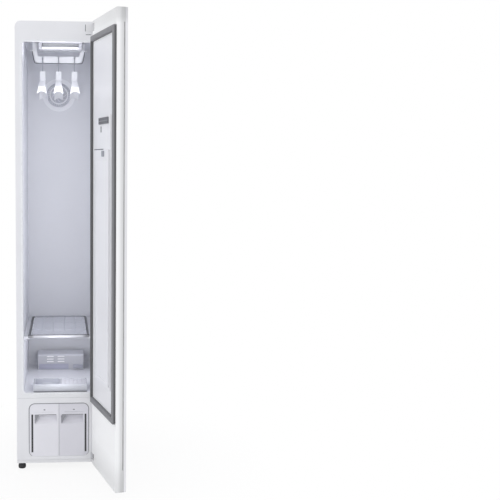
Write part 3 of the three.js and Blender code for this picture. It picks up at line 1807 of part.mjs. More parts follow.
// Trouser press: a base on the door liner, a board hinged on it, a turning latch and a clip flap
function buildPress() {
  const baseLow = linerFace + seat;
  const baseOutline = outline(pressLeft, pressRight, pressBottom, pressTop, pressCornerRadius);
  add(door, "press_base", paint.plastic, alongY(baseOutline, baseLow, pressFace, 0, 2));

  const boardLow = pressFace + seat;
  const board = outline(boardLeft, boardRight, boardBottom, boardTop, boardCornerRadius);
  const recess = outline(
    boardLeft + boardRecessMargin,
    boardRight - boardRecessMargin,
    boardBottom + boardRecessMargin,
    latchBottom - boardRecessMargin,
    boardCornerRadius,
  );
  const pivotX = (latchLeft + latchRight) / 2;
  const pivotZ = (latchBottom + latchTop) / 2;
  const boardSolid = cut(
    alongY(board, boardLow, boardFace, 0, 2),
    alongY(recess, boardFace - boardRecess, boardFace + overrun, 0, 2),
    rod(
      [pivotX, boardLow - overrun, pivotZ],
      [pivotX, boardFace + overrun, pivotZ],
      latchPivotRadius + seat,
      16,
    ),
  );
  add(door, "press_board", paint.plastic, boardSolid);

  const latchLow = boardFace + seat;
  const latch = join(
    alongY(
      outline(latchLeft, latchRight, latchBottom, latchTop, latchPivotRadius),
      latchLow,
      latchLow + latchThickness,
    ),
    rod(
      [pivotX, boardLow + seat, pivotZ],
      [pivotX, latchLow + running, pivotZ],
      latchPivotRadius - seat,
      12,
    ),
  );
  add(door, "press_latch", paint.greyPlastic, latch);

  const clipLow = pressFace + seat;
  const clipSlots = [1, 2].map((i) => clipBottom + ((clipTop - clipBottom) * i) / 3);
  let clip = alongY(
    outline(clipLeft, clipRight, clipBottom, clipTop, clipPinRadius),
    clipLow,
    clipLow + clipThickness,
  );
  for (const z of clipSlots) {
    clip = cut(
      clip,
      block(
        [clipLeft + clipEdgeMargin, clipRight - clipEdgeMargin],
        [clipLow + clipThickness / 2, clipLow + clipThickness + overrun],
        [z - clipSlotHeight / 2, z + clipSlotHeight / 2],
      ),
    );
  }
  add(door, "trouser_clip", paint.smoked, clip);
}

buildCase();
buildBase();
buildLiner();
buildInsulation();
buildLight();
buildHangerBar();
buildHangers();
buildFan();
buildShelf();
buildTray();
buildDuct();
buildBay();
buildTank("supply_tank", -1);
buildTank("drain_tank", 1);
buildMachineRoom();
buildHinges();
buildDoor();
buildGasketAndLiner();
buildPress();

// Origin: the middle of the floor under the bounding box
part.updateMatrixWorld(true);
const bounds = new THREE.Box3().setFromObject(part);
const middle = bounds.getCenter(new THREE.Vector3());
part.position.set(-middle.x, -middle.y, -bounds.min.z);

export default part;
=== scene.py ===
# Clothes care steam cabinet: finishes, fine pieces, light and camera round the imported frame.
import json
import math

import bpy
from mathutils import Matrix, Vector


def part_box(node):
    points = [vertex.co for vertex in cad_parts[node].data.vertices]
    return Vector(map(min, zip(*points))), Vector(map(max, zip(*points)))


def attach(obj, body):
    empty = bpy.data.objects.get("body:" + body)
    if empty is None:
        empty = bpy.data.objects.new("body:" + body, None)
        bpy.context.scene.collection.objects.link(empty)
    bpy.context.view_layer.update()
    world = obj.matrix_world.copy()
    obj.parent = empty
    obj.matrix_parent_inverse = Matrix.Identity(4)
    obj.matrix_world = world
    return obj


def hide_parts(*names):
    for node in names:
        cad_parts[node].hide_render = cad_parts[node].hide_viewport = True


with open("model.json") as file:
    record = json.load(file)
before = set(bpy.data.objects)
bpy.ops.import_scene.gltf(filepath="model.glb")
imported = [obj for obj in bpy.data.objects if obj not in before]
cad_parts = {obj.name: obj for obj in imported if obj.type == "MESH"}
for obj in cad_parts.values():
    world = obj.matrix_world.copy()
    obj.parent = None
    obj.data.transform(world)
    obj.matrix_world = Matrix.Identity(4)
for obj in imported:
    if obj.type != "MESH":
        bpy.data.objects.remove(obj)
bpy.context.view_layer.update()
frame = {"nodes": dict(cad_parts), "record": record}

MM = 0.001
record = frame["record"]
nodes = frame["nodes"]
joints = {joint["name"]: joint for joint in record["behaviour"]["joints"]}

# The cabinet's own coordinates: x from the middle of the case, y back from its front face
case_low, case_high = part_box("front_frame")
case_middle = (case_low.x + case_high.x) / 2
case_front = case_low.y


def at(x, y, z):
    return Vector((case_middle + x, case_front + y, z))


def front_sides(left, right, low, high):
    """A rectangle seen from the front, in mm: x from the middle of the case, z over the floor."""
    return case_middle + left * MM, case_middle + right * MM, low * MM, high * MM


# The door's pieces are drawn closed and turned open, about the hinge of its joint
hinge = Vector(joints["door_swing"]["pos_m"])
open_angle = math.radians(-joints["door_swing"]["range_deg"][0])
door_turn = Matrix.Translation(hinge) @ Matrix.Rotation(open_angle, 4, "Z") @ Matrix.Translation(-hinge)
door_back = door_turn.inverted()


def closed_box(node):
    """The box of a door node as it is when the door is closed."""
    points = [door_back @ vertex.co for vertex in nodes[node].data.vertices]
    low = Vector([min(point[axis] for point in points) for axis in range(3)])
    high = Vector([max(point[axis] for point in points) for axis in range(3)])
    return low, high


# Node materials
NOISE_LOW, NOISE_HIGH = 0.3, 0.7  # nearly all values of a noise lie between these
CLOUD_DETAIL, RUB_DETAIL, GRAIN_DETAIL = 3.0, 4.0, 2.0
RUBS_PER_CLOUD = 9  # how much finer the uneven gloss is than the clouds in the colour
LEAST_ROUGHNESS = 0.02
GRAIN_HEIGHT = 0.2 * MM


def linear(value):
    share = value / 255
    return share / 12.92 if share <= 0.04045 else ((share + 0.055) / 1.055) ** 2.4


def tone(red, green, blue):
    return (linear(red), linear(green), linear(blue), 1)


def shaded(colour, factor):
    return (min(colour[0] * factor, 1), min(colour[1] * factor, 1), min(colour[2] * factor, 1), 1)


class Shader:
    """A material's node tree with a principled shader, and the calls that add to it."""

    def __init__(self, name):
        self.material = bpy.data.materials.new(name)
        self.material.use_nodes = True
        self.tree = self.material.node_tree
        self.tree.nodes.clear()
        self.out = self.add("ShaderNodeOutputMaterial")
        self.main = self.add("ShaderNodeBsdfPrincipled")
        self.link(self.main.outputs["BSDF"], self.out.inputs["Surface"])
        self.place = self.add("ShaderNodeTexCoord").outputs["Object"]

    def add(self, kind):
        return self.tree.nodes.new(kind)

    def link(self, source, target):
        self.tree.links.new(source, target)

    def noise(self, scale, detail):
        noise = self.add("ShaderNodeTexNoise")
        noise.inputs["Scale"].default_value = scale
        noise.inputs["Detail"].default_value = detail
        self.link(self.place, noise.inputs["Vector"])
        return noise.outputs["Fac"]

    def span(self, source, low, high, from_low=NOISE_LOW, from_high=NOISE_HIGH):
        node = self.add("ShaderNodeMapRange")
        node.inputs["From Min"].default_value = from_low
        node.inputs["From Max"].default_value = from_high
        node.inputs["To Min"].default_value = low
        node.inputs["To Max"].default_value = high
        self.link(source, node.inputs["Value"])
        return node.outputs["Result"]

    def axis(self, name):
        split = self.add("ShaderNodeSeparateXYZ")
        self.link(self.place, split.inputs["Vector"])
        return split.outputs[name]

    def ramp(self, source, stops):
        node = self.add("ShaderNodeValToRGB")
        points = node.color_ramp.elements
        while len(points) < len(stops):
            points.new(0.5)
        for point, (position, colour) in zip(points, stops):
            point.position = position
            point.color = colour
        self.link(source, node.inputs["Fac"])
        return node.outputs["Color"]

    def times(self, first, second):
        node = self.add("ShaderNodeMix")
        node.data_type = "RGBA"
        node.blend_type = "MULTIPLY"
        node.inputs["Factor"].default_value = 1
        self.link(first, node.inputs["A"])
        self.link(second, node.inputs["B"])
        return node.outputs["Result"]


def finish_material(
    name, colour, roughness, cloud=5.0, spread=0.02, grain=700.0, depth=0.04,
    bands=(), uneven=0.04, metal=0, gloss=0.5, alpha=1, glow=0,
):
    """A surface with clouds in its colour, uneven roughness and a fine grain. Each band holds an
    axis, where it starts and ends, and the shades between."""
    shader = Shader(name)
    inputs = shader.main.inputs
    clouds = shader.noise(cloud, CLOUD_DETAIL)
    darker, lighter = shaded(colour, 1 - spread), shaded(colour, 1 + spread)
    base = shader.ramp(clouds, [(NOISE_LOW, darker), (NOISE_HIGH, lighter)])
    for axis, start, end, stops in bands:
        share = shader.span(shader.axis(axis), 0, 1, start, end)
        base = shader.times(base, shader.ramp(share, stops))
    shader.link(base, inputs["Base Color"])
    rubs = shader.noise(cloud * RUBS_PER_CLOUD, RUB_DETAIL)
    smoothest = max(roughness - uneven, LEAST_ROUGHNESS)
    shader.link(shader.span(rubs, smoothest, roughness + uneven), inputs["Roughness"])
    bump = shader.add("ShaderNodeBump")
    bump.inputs["Strength"].default_value = depth
    bump.inputs["Distance"].default_value = GRAIN_HEIGHT
    shader.link(shader.noise(grain, GRAIN_DETAIL), bump.inputs["Height"])
    shader.link(bump.outputs["Normal"], inputs["Normal"])
    inputs["Metallic"].default_value = metal
    inputs["Specular IOR Level"].default_value = gloss
    inputs["Alpha"].default_value = alpha
    if glow:
        inputs["Emission Color"].default_value = tone(250, 251, 255)
        inputs["Emission Strength"].default_value = glow
    return shader.material


finishes = {
    "enamel_white": finish_material("enamel", tone(233, 233, 235), 0.34, depth=0.02),
    "moulded_white": finish_material("moulded", tone(235, 235, 238), 0.32, grain=900.0, depth=0.02),
    "liner_blue_grey": finish_material("liner", tone(230, 231, 237), 0.4, cloud=2.5, depth=0.03),
    "hanger_white": finish_material("hanger", tone(248, 249, 253), 0.4, grain=1200.0, depth=0.04),
    "tank_white": finish_material("tank", tone(222, 222, 228), 0.34, depth=0.02),
    "clear_plastic": finish_material("clear", tone(222, 225, 236), 0.12, alpha=0.45, uneven=0.03, depth=0.02),
    "smoked_plastic": finish_material("smoked", tone(58, 58, 62), 0.24, spread=0.08),
    "light_lens": finish_material("lens", tone(246, 247, 252), 0.35, glow=0.15),
    "foam": finish_material("foam", tone(228, 224, 208), 0.92, cloud=30.0, grain=260.0, depth=0.5),
    "gasket_grey": finish_material("gasket", tone(140, 141, 144), 0.6, spread=0.05),
    "black_rubber": finish_material("rubber", tone(40, 40, 42), 0.6, spread=0.15, depth=0.15),
    "chrome_wire": finish_material("chrome", tone(196, 198, 206), 0.2, metal=1, uneven=0.05),
    "zinc_steel": finish_material(
        "zinc", tone(186, 188, 190), 0.38, metal=1, spread=0.03, cloud=24.0, uneven=0.06
    ),
    "black_steel": finish_material("black_steel", tone(44, 45, 48), 0.45, spread=0.12, depth=0.12),
    "grey_plastic": finish_material("grey_plastic", tone(158, 160, 168), 0.45, spread=0.03),
    "aluminium": finish_material(
        "aluminium", tone(204, 206, 208), 0.4, metal=1, spread=0.05, cloud=60.0, uneven=0.1
    ),
}


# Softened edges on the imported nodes, by modifiers, so that their shapes stay as packed
WELD_REACH = 0.01 * MM
SHARP_ANGLE = math.radians(32)
FACE_WEIGHT = 90


def soften(node, width):
    piece = nodes[node]
    mesh = piece.data
    if "custom_normal" in mesh.attributes:
        mesh.attributes.remove(mesh.attributes["custom_normal"])
    mesh.shade_smooth()
    weld = piece.modifiers.new("weld", "WELD")
    weld.merge_threshold = WELD_REACH
    bevel = piece.modifiers.new("edge", "BEVEL")
    bevel.width = width * MM
    bevel.segments = 2
    bevel.limit_method = "ANGLE"
    bevel.angle_limit = SHARP_ANGLE
    bevel.harden_normals = False
    shading = piece.modifiers.new("shading", "WEIGHTED_NORMAL")
    shading.weight = FACE_WEIGHT
    shading.keep_sharp = True


edge_widths = {
    "outer_case": 0.4,
    "front_frame": 2.4,
    "lower_front_panel": 1.0,
    "inner_liner": 1.2,
    "ceiling_unit": 1.5,
    "light_lens": 0.8,
    "hanger_bar": 2.0,
    "shelf_frame": 0.6,
    "shelf_plate": 0.8,
    "shelf_front_trim": 1.5,
    "floor_tray": 0.8,
    "lint_filter": 0.7,
    "aroma_case": 0.7,
    "duct_cover": 0.8,
    "steam_nozzle": 0.8,
    "supply_tank": 1.0,
    "supply_tank_front": 1.2,
    "supply_tank_window": 0.4,
    "supply_tank_lid": 0.8,
    "drain_tank": 1.0,
    "drain_tank_front": 1.2,
    "drain_tank_window": 0.4,
    "drain_tank_lid": 0.8,
    "top_hinge": 0.8,
    "bottom_hinge": 0.8,
    "door_outer_panel": 1.0,
    "door_inner_shell": 1.0,
    "door_liner": 1.0,
    "press_base": 1.5,
    "press_board": 2.0,
    "press_latch": 1.0,
    "trouser_clip": 1.0,
    "back_panel": 0.3,
    "base_pan": 0.5,
    "compressor": 2.0,
    "steam_generator": 1.0,
    "tank_bay": 0.8,
    "hanger_motor": 0.6,
    "fan_housing": 0.6,
    "fan_impeller": 0.4,
    "machine_deck": 0.4,
}
for node, width in edge_widths.items():
    soften(node, width)


def shades(*stops):
    return [(place, (share, share, share, 1)) for place, share in stops]


def band(axis, node, *stops):
    """Shades over the whole length of a node along one axis."""
    low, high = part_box(node)
    index = "XYZ".index(axis)
    return axis, low[index], high[index], shades(*stops)


# Some nodes have a tone of their own, which still is a shade of their finish, and some carry bands of painted
# light and shade
press_white = finish_material("press", tone(238, 238, 241), 0.36, depth=0.02)
door_cap = ("Z", 1.79, 1.85, shades((0.0, 1), (0.4, 0.82), (1.0, 0.76)))
# painted shade at the foot of the door, darker towards the floor
door_foot_shade = ("Z", 0.06, 0.15, shades((0.0, 0.84), (1.0, 1)))
own_tones = {
    "steam_nozzle": finish_material("nozzle", tone(178, 180, 192), 0.45, spread=0.03, depth=0.02),
    "trouser_clip": finish_material("clip", tone(112, 112, 117), 0.45, spread=0.03),
    "press_base": press_white,
    "press_board": press_white,
    "door_inner_shell": finish_material(
        "door_shell", tone(255, 255, 255), 0.5, depth=0.0, spread=0.0, gloss=0.1,
        bands=[
            # painted shade across the door's end: white at its inner edge, darker towards the outer panel
            band("X", "door_inner_shell", (0.0, 1), (0.8, 0.97), (0.86, 0.84), (0.9, 0.76), (1.0, 0.72)),
            door_cap,
            door_foot_shade,
        ],
    ),
    "door_outer_panel": finish_material(
        "door_panel", tone(236, 236, 238), 0.42, gloss=0.25, depth=0.01, bands=[door_cap]
    ),
    # painted light and shade: darker on the front, lighter along the top edge
    "duct_cover": finish_material(
        "duct", tone(236, 237, 245), 0.45, cloud=2.5, depth=0.02,
        bands=[band("Z", "duct_cover", (0.0, 0.6), (0.88, 0.64), (0.97, 0.84), (1.0, 0.84))],
    ),
    "ceiling_unit": finish_material("unit", tone(176, 177, 184), 0.4, depth=0.02),
    "bottom_hinge": finish_material(
        "hinge_grey", tone(214, 214, 218), 0.5, spread=0.03, depth=0.03,
        bands=[band("X", "bottom_hinge", (0.0, 1), (0.3, 1), (0.38, 0.22), (1.0, 0.22))],
    ),
    # one white for both tank fronts: the drain tank's copy is darker as painted shade on the right, the
    # supply tank's lighter as painted light on the left
    "drain_tank_front": finish_material("drain_front", tone(222, 221, 228), 0.34, depth=0.02),
    "supply_tank_front": finish_material("supply_front", tone(234, 233, 239), 0.34, depth=0.02),
    # painted shade: darker at both ends by the walls, and along the top and bottom edges
    "shelf_front_trim": finish_material(
        "trim", tone(206, 207, 215), 0.26, alpha=0.94, uneven=0.03, depth=0.02,
        bands=[
            band("X", "shelf_front_trim", (0.0, 0.5), (0.06, 0.5), (0.1, 1), (0.88, 1), (0.94, 0.5)),
            band("Z", "shelf_front_trim", (0.0, 0.7), (0.25, 1), (0.7, 1), (0.85, 0.45), (1.0, 0.45)),
        ],
    ),
    # painted shade: darker on the side rails along the walls and on the bar at the back
    "shelf_frame": finish_material(
        "rails", tone(216, 218, 228), 0.3, metal=0.2, spread=0.02,
        bands=[
            band("X", "shelf_frame", (0.0, 0.2), (0.035, 0.2), (0.05, 1), (0.95, 1), (0.965, 0.2)),
            band("Y", "shelf_frame", (0.0, 1), (0.97, 1), (0.98, 0.25)),
        ],
    ),
    "shelf_plate": finish_material("plate", tone(222, 225, 236), 0.1, alpha=0.3, uneven=0.03, depth=0.02),
    "hanger_bar": finish_material("bar", tone(248, 249, 253), 0.34, depth=0.02),
    "aroma_case": finish_material("aroma", tone(198, 198, 206), 0.34, depth=0.02),
    "lint_filter": finish_material("lint", tone(186, 188, 198), 0.34, depth=0.02),
    "floor_tray": finish_material("tray", tone(226, 228, 236), 0.14, alpha=0.68, uneven=0.03, depth=0.02),
}
for item in record["subparts"]:
    for slot in nodes[item["node"]].material_slots:
        slot.material = own_tones.get(item["node"], finishes[item["material_slot"]])


# Building blocks for the scene's own pieces
RING_STEPS = 6
LEAST_RING_CORNER = 1.5 * MM
LEAST_PLATE_CORNER = 0.2 * MM
hanger_bodies = ("hanger_left", "hanger_middle", "hanger_right")


def new_piece(name, points, faces, materials, picks=None):
    mesh = bpy.data.meshes.new(name)
    mesh.from_pydata([tuple(point) for point in points], [], faces)
    for material in materials:
        mesh.materials.append(material)
    if picks:
        for polygon, pick in zip(mesh.polygons, picks):
            polygon.material_index = pick
    mesh.shade_smooth()
    mesh.update()
    piece = bpy.data.objects.new(name, mesh)
    bpy.context.scene.collection.objects.link(piece)
    return piece


def own(piece, body, slot, *replaced):
    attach(piece, body)
    if replaced:
        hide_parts(*replaced)


def own_on_door(piece, body, slot, *replaced):
    piece.matrix_world = door_turn
    own(piece, body, slot, *replaced)


def grid_faces(rows, columns, close_rows=False):
    """The faces between rows of points, where each row is a closed ring."""
    faces = []
    for row in range(rows if close_rows else rows - 1):
        start, after = row * columns, (row + 1) % rows * columns
        for column in range(columns):
            beside = (column + 1) % columns
            faces.append((start + column, start + beside, after + beside, after + column))
    return faces


def capped_faces(rows, columns):
    """The same, and a face over the first and over the last ring."""
    faces = grid_faces(rows, columns)
    faces.append(tuple(reversed(range(columns))))
    faces.append(tuple(range((rows - 1) * columns, rows * columns)))
    return faces


def harden(piece, angle):
    """Flat faces stay flat, and only bends below the angle are shaded smooth."""
    limit = math.cos(math.radians(angle))
    mesh = piece.data
    neighbours = {}
    for polygon in mesh.polygons:
        for key in polygon.edge_keys:
            neighbours.setdefault(key, []).append(polygon.normal)
    for edge in mesh.edges:
        normals = neighbours.get(edge.key, [])
        edge.use_edge_sharp = len(normals) == 2 and normals[0].dot(normals[1]) < limit


def tube(name, path, radius, material, sides=12):
    """A round wire along a path of points, closed at both ends."""
    points = []
    side = (path[1] - path[0]).normalized().orthogonal().normalized()
    for i, centre in enumerate(path):
        way = (path[min(i + 1, len(path) - 1)] - path[max(i - 1, 0)]).normalized()
        side = (side - way * side.dot(way)).normalized()
        lift = way.cross(side)
        for k in range(sides):
            angle = 2 * math.pi * k / sides
            points.append(centre + radius * (math.cos(angle) * side + math.sin(angle) * lift))
    return new_piece(name, points, capped_faces(len(path), sides), [material])


def smooth_path(points, steps):
    """A rounded line through the points, as a Catmull-Rom curve."""
    ends = [2 * points[0] - points[1], *points, 2 * points[-1] - points[-2]]
    path = []
    for i in range(1, len(ends) - 2):
        before, start, stop, after = ends[i - 1 : i + 3]
        for k in range(steps):
            t = k / steps
            path.append(
                0.5
                * (
                    2 * start
                    + (stop - before) * t
                    + (2 * before - 5 * start + 4 * stop - after) * t**2
                    + (3 * start - before - 3 * stop + after) * t**3
                )
            )
    path.append(points[-1])
    return path


def rounded_ring(left, right, low, high, radius, steps):
    corners = [
        (right - radius, high - radius),
        (left + radius, high - radius),
        (left + radius, low + radius),
        (right - radius, low + radius),
    ]
    ring = []
    for turn, (x, z) in enumerate(corners):
        for k in range(steps + 1):
            angle = math.pi / 2 * (turn + k / steps)
            ring.append((x + radius * math.cos(angle), z + radius * math.sin(angle)))
    return ring


def ring_piece(name, sides, corner, profile, materials):
    """A closed ring round a rectangle in x and z. Each row of the profile holds the inset at the top
    and bottom, left and right, the place along y, and the finish of the faces that follow it."""
    left, right, low, high = sides
    points, picks = [], []
    for inset, left_inset, right_inset, y, pick in profile:
        edges = (left + left_inset, right - right_inset, low + inset, high - inset)
        ring = rounded_ring(*edges, max(corner - inset, LEAST_RING_CORNER), RING_STEPS)
        points += [Vector((x, y, z)) for x, z in ring]
        picks += [pick] * len(ring)
    piece = new_piece(name, points, grid_faces(len(profile), len(ring), True), materials, picks)
    harden(piece, 50)
    return piece


def pill(name, sides, corner, back, front, edge, material, steps=5):
    """A plate with rounded corners and a rounded front edge, which stands in x and z."""
    left, right, low, high = sides
    rows = [(0, back), (0, front + edge), (0.3 * edge, front + 0.3 * edge), (edge, front)]
    points = []
    for inset, y in rows:
        edges = (left + inset, right - inset, low + inset, high - inset)
        ring = rounded_ring(*edges, max(corner - inset, LEAST_PLATE_CORNER), steps)
        points += [Vector((x, y, z)) for x, z in ring]
    piece = new_piece(name, points, capped_faces(len(rows), len(ring)), [material])
    harden(piece, 50)
    return piece


def lathe(name, rows, centre, materials, sides, forwards=False):
    """A turned piece, about an upright axis or one that runs forwards. Each row holds a radius and
    a height in mm, and the finish of the faces that follow it."""
    points = []
    for radius, height, _ in rows:
        rise = height * MM
        for k in range(sides):
            angle = 2 * math.pi * k / sides
            across, along = radius * MM * math.cos(angle), radius * MM * math.sin(angle)
            offset = Vector((across, -rise, along)) if forwards else Vector((across, along, rise))
            points.append(centre + offset)
    picks = [pick for _, _, pick in rows[:-1] for _ in range(sides)]
    picks += [picks[0], picks[-1]]
    piece = new_piece(name, points, capped_faces(len(rows), sides), materials, picks)
    harden(piece, 45)
    return piece


# Door gasket: a bellows ring in three greys of one rubber, with painted shade on its root and wall, replacing
# the plain ring
# lit and shaded copies of one grey rubber: root and wall are painted shade
gasket_root_shade = finish_material("gasket_root_shade", tone(80, 80, 82), 0.7, spread=0.06)
gasket_wall_shade = finish_material("gasket_wall_shade", tone(100, 100, 102), 0.6, spread=0.04)
gasket_face = finish_material("gasket_face", tone(132, 132, 135), 0.55, spread=0.03)


def make_gasket():
    low, high = closed_box("door_gasket")
    height = high.y - low.y
    corner, end_depth = 5 * MM, 24 * MM
    root, wall, face = 0, 1, 2
    # inset at the top and bottom, left and right, share of the height, and the grey of the faces that follow,
    # where root and wall carry painted shade
    rows = [
        (0.0, -13.0, 0.0, 0.0, root),
        (0.0, -13.0, 0.0, 0.3, wall),
        (0.8, -12.4, 0.8, 0.6, face),
        (1.4, -11.6, 1.2, 0.8, face),
        (4.0, -9.0, 2.5, 0.9, face),
        (19.0, 3.0, 4.0, 0.9, wall),
        (21.4, 5.0, 5.5, 0.72, root),
        (20.6, 4.0, 4.5, 0.5, root),
        (23.0, 3.0, 2.5, 0.12, root),
        (23.0, 3.0, 2.5, 0.0, root),
    ]
    profile = [
        (inset * MM, left * MM, right * MM, low.y + height * share, pick)
        for inset, left, right, share, pick in rows
    ]
    sides = (low.x, high.x, low.z, high.z)
    piece = ring_piece("gasket_bellows", sides, corner, profile, [gasket_root_shade, gasket_wall_shade, gasket_face])
    # the two ends take the lighter grey all over as painted light, and the hinge side's root takes the wall's
    # lighter painted shade
    for polygon in piece.data.polygons:
        if abs(polygon.center.z - (low.z + high.z) / 2) > (high.z - low.z) / 2 - end_depth:
            polygon.material_index = face
        elif polygon.center.x > (low.x + high.x) / 2 and polygon.material_index == root:
            polygon.material_index = wall
    own_on_door(piece, "door", "gasket_grey", "door_gasket")


make_gasket()


# The bright rounded lip round the compartment's mouth, and a grey line round the tanks that paints the shadow
# in their gap
bright_lip = finish_material("bright_lip", tone(237, 238, 241), 0.28, depth=0.02)
gap_shadow_grey = finish_material("gap_shadow_grey", tone(132, 132, 138), 0.6, spread=0.05)


def make_mouth_lip():
    liner_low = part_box("inner_liner")[0]
    half, liner_wall, from_top, corner = 146 * MM, 3 * MM, 82 * MM, 15 * MM
    sides = (case_middle - half, case_middle + half, liner_low.z + liner_wall, case_high.z - from_top)
    # the lip lies on the front frame's face, just outside its opening
    rows = [(0.2, 0.0), (0.2, 0.9), (-0.9, 1.5), (-3.2, 1.7), (-5.8, 1.1), (-7.4, 0.2), (-7.4, 0.0)]
    profile = [(inset * MM, inset * MM, inset * MM, case_front - out * MM, 0) for inset, out in rows]
    own(ring_piece("mouth_lip", sides, corner, profile, [bright_lip]), "cabinet", "moulded_white")


make_mouth_lip()


# a grey strip that paints the shadow in the gap round the tank bay
def make_bay_line():
    half, low, high, corner = 124.3 * MM, 54 * MM, 279.4 * MM, 24 * MM
    width = 1.6 * MM
    cut_below, thin_at, thinning = 58 * MM, 56 * MM, 40 * MM
    ring = rounded_ring(case_middle - half, case_middle + half, low, high, corner, 8)
    # from the lower right corner up, over the top and down to the lower left corner
    ring = [point for point in ring if point[1] > cut_below]
    split = max(range(len(ring)), key=lambda i: math.dist(ring[i], ring[(i + 1) % len(ring)]))
    ring = ring[split + 1 :] + ring[: split + 1]
    points = []
    for i, (x, z) in enumerate(ring):
        before, after = ring[max(i - 1, 0)], ring[min(i + 1, len(ring) - 1)]
        way = Vector((after[0] - before[0], 0, after[1] - before[1])).normalized()
        side = Vector((way.z, 0, -way.x))
        fade = min(1, (z - thin_at) / thinning)
        for across, out in ((-1, -0.1), (-0.8, 0.35), (0.8, 0.35), (1, -0.1)):
            offset = side * across * width * (0.35 + 0.65 * fade)
            points.append(Vector((x, case_front - out * MM, z)) + offset)
    piece = new_piece("bay_line", points, capped_faces(len(ring), 4), [gap_shadow_grey])
    own(piece, "cabinet", "grey_plastic")


make_bay_line()


# Hooks of smooth wire in place of the faceted ones
hook_grey = finish_material("hook_grey", tone(178, 180, 188), 0.35, metal=0.4, spread=0.03)


def make_hooks():
    wire = 1.6 * MM
    first_angle, turn, turn_steps, tail_steps = -12, 217, 24, 6
    for number, body in enumerate(hanger_bodies, 1):
        node = "hook_%d" % number
        low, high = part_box(node)
        x, y = (low.x + high.x) / 2, (low.y + high.y) / 2
        radius = (high.y - low.y) / 2 - wire
        top = high.z - wire - radius
        path = []
        for k in range(turn_steps + 1):
            angle = math.radians(first_angle + turn * k / turn_steps)
            path.append(Vector((x, y + radius * math.cos(angle), top + radius * math.sin(angle))))
        tail = [
            path[-1],
            Vector((x, y - radius / 3, top - 2 * radius + radius / 3)),
            Vector((x, y, top - 2.5 * radius)),
            Vector((x, y, low.z + 0.3 * MM)),
        ]
        path = path[:-1] + smooth_path(tail, tail_steps)
        own(tube("hook_wire_%d" % number, path, wire, hook_grey), body, "chrome_wire", node)


make_hooks()


# Fan guard: a pale dish with a grey ring of vanes and a swirl round its hub
guard_grey = finish_material("guard_grey", tone(206, 207, 216), 0.5, spread=0.06, cloud=20.0)
guard_pale = finish_material("guard_pale", tone(248, 249, 255), 0.4)
guard_dot = finish_material("guard_dot", tone(110, 114, 122), 0.5, spread=0.05)


def make_fan_blades(name, count, centre, inner, outer, sweep, thick, height, depth):
    """Curved plates that stand on the guard, each from one radius to another."""
    steps = 5
    points, faces = [], []
    for blade in range(count):
        turn = 2 * math.pi * blade / count
        start = len(points)
        for k in range(steps + 1):
            share = k / steps
            radius = inner + (outer - inner) * share
            angle = turn + sweep * share
            middle = Vector((radius * math.cos(angle), 0, radius * math.sin(angle)))
            side = Vector((-math.sin(angle - 0.5 * sweep), 0, math.cos(angle - 0.5 * sweep))) * thick / 2
            for across, out in ((-1, depth), (-1, height), (1, height), (1, depth)):
                points.append(centre + middle + side * across + Vector((0, -out, 0)))
        faces += [tuple(start + i for i in face) for face in capped_faces(steps + 1, 4)]
    piece = new_piece(name, points, faces, [guard_pale])
    harden(piece, 40)
    own(piece, "cabinet", "moulded_white", "fan_grille")


def make_fan_guard():
    low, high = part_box("fan_grille")
    centre = Vector(((low.x + high.x) / 2, high.y, (low.z + high.z) / 2))
    pale, grey, dot = 0, 1, 2
    # radius, height over the wall and finish of the faces that follow
    rows = [
        (75.8, 0.0, pale),
        (75.8, 1.0, pale),
        (70.0, 2.0, pale),
        (60.0, 3.0, pale),
        (56.0, 4.5, grey),
        (55.0, 9.0, grey),
        (53.5, 10.6, grey),
        (51.5, 10.0, grey),
        (50.0, 5.5, grey),
        (43.5, 5.0, pale),
        (42.6, 9.6, pale),
        (40.8, 11.2, pale),
        (39.0, 10.8, pale),
        (37.6, 8.6, grey),
        (36.6, 4.0, grey),
        (16.0, 3.0, pale),
        (14.0, 9.0, pale),
        (11.0, 11.4, pale),
        (5.0, 12.6, pale),
        (3.4, 12.4, dot),
        (3.0, 11.4, dot),
    ]
    piece = lathe("fan_guard", rows, centre, [guard_pale, guard_grey, guard_dot], 56, True)
    own(piece, "cabinet", "moulded_white", "fan_grille")
    make_fan_blades("fan_vanes", 30, centre, 42.5 * MM, 51.5 * MM, 0.12, 1.6 * MM, 8.4 * MM, 4 * MM)
    make_fan_blades("fan_swirl", 9, centre, 12 * MM, 39 * MM, 0.9, 4.6 * MM, 8.6 * MM, 2.5 * MM)


make_fan_guard()


# Feet: a rounded rubber pad under a short threaded stem
def make_feet():
    rubber, steel = 0, 1
    # radius, height over the floor and finish of the faces that follow
    rows = [
        (11.0, 0.0, rubber),
        (14.0, 1.2, rubber),
        (15.6, 4.0, rubber),
        (16.0, 8.0, rubber),
        (15.8, 13.0, rubber),
        (14.4, 18.0, rubber),
        (11.4, 21.6, rubber),
        (7.8, 23.2, steel),
        (7.4, 27.0, steel),
        (6.2, 27.6, steel),
        (6.2, 36.8, steel),
    ]
    for corner in ("front_left", "front_right", "rear_left", "rear_right"):
        node = "foot_" + corner
        low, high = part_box(node)
        centre = Vector(((low.x + high.x) / 2, (low.y + high.y) / 2, low.z))
        materials = [finishes["black_rubber"], finishes["zinc_steel"]]
        own(lathe("pad_" + corner, rows, centre, materials, 40), node, "black_rubber", node)


make_feet()


# Duct: a backing behind the mouth and the nozzle, and bright slats over the louvres
mouth_grey = finish_material("mouth_grey", tone(176, 177, 194), 0.6, spread=0.03)
nozzle_grey = finish_material("nozzle_grey", tone(186, 188, 200), 0.5, spread=0.03)
slat_pale = finish_material("slat_pale", tone(252, 252, 255), 0.25)
shadow_grey = finish_material("shadow_grey", tone(96, 97, 102), 0.6, spread=0.08)


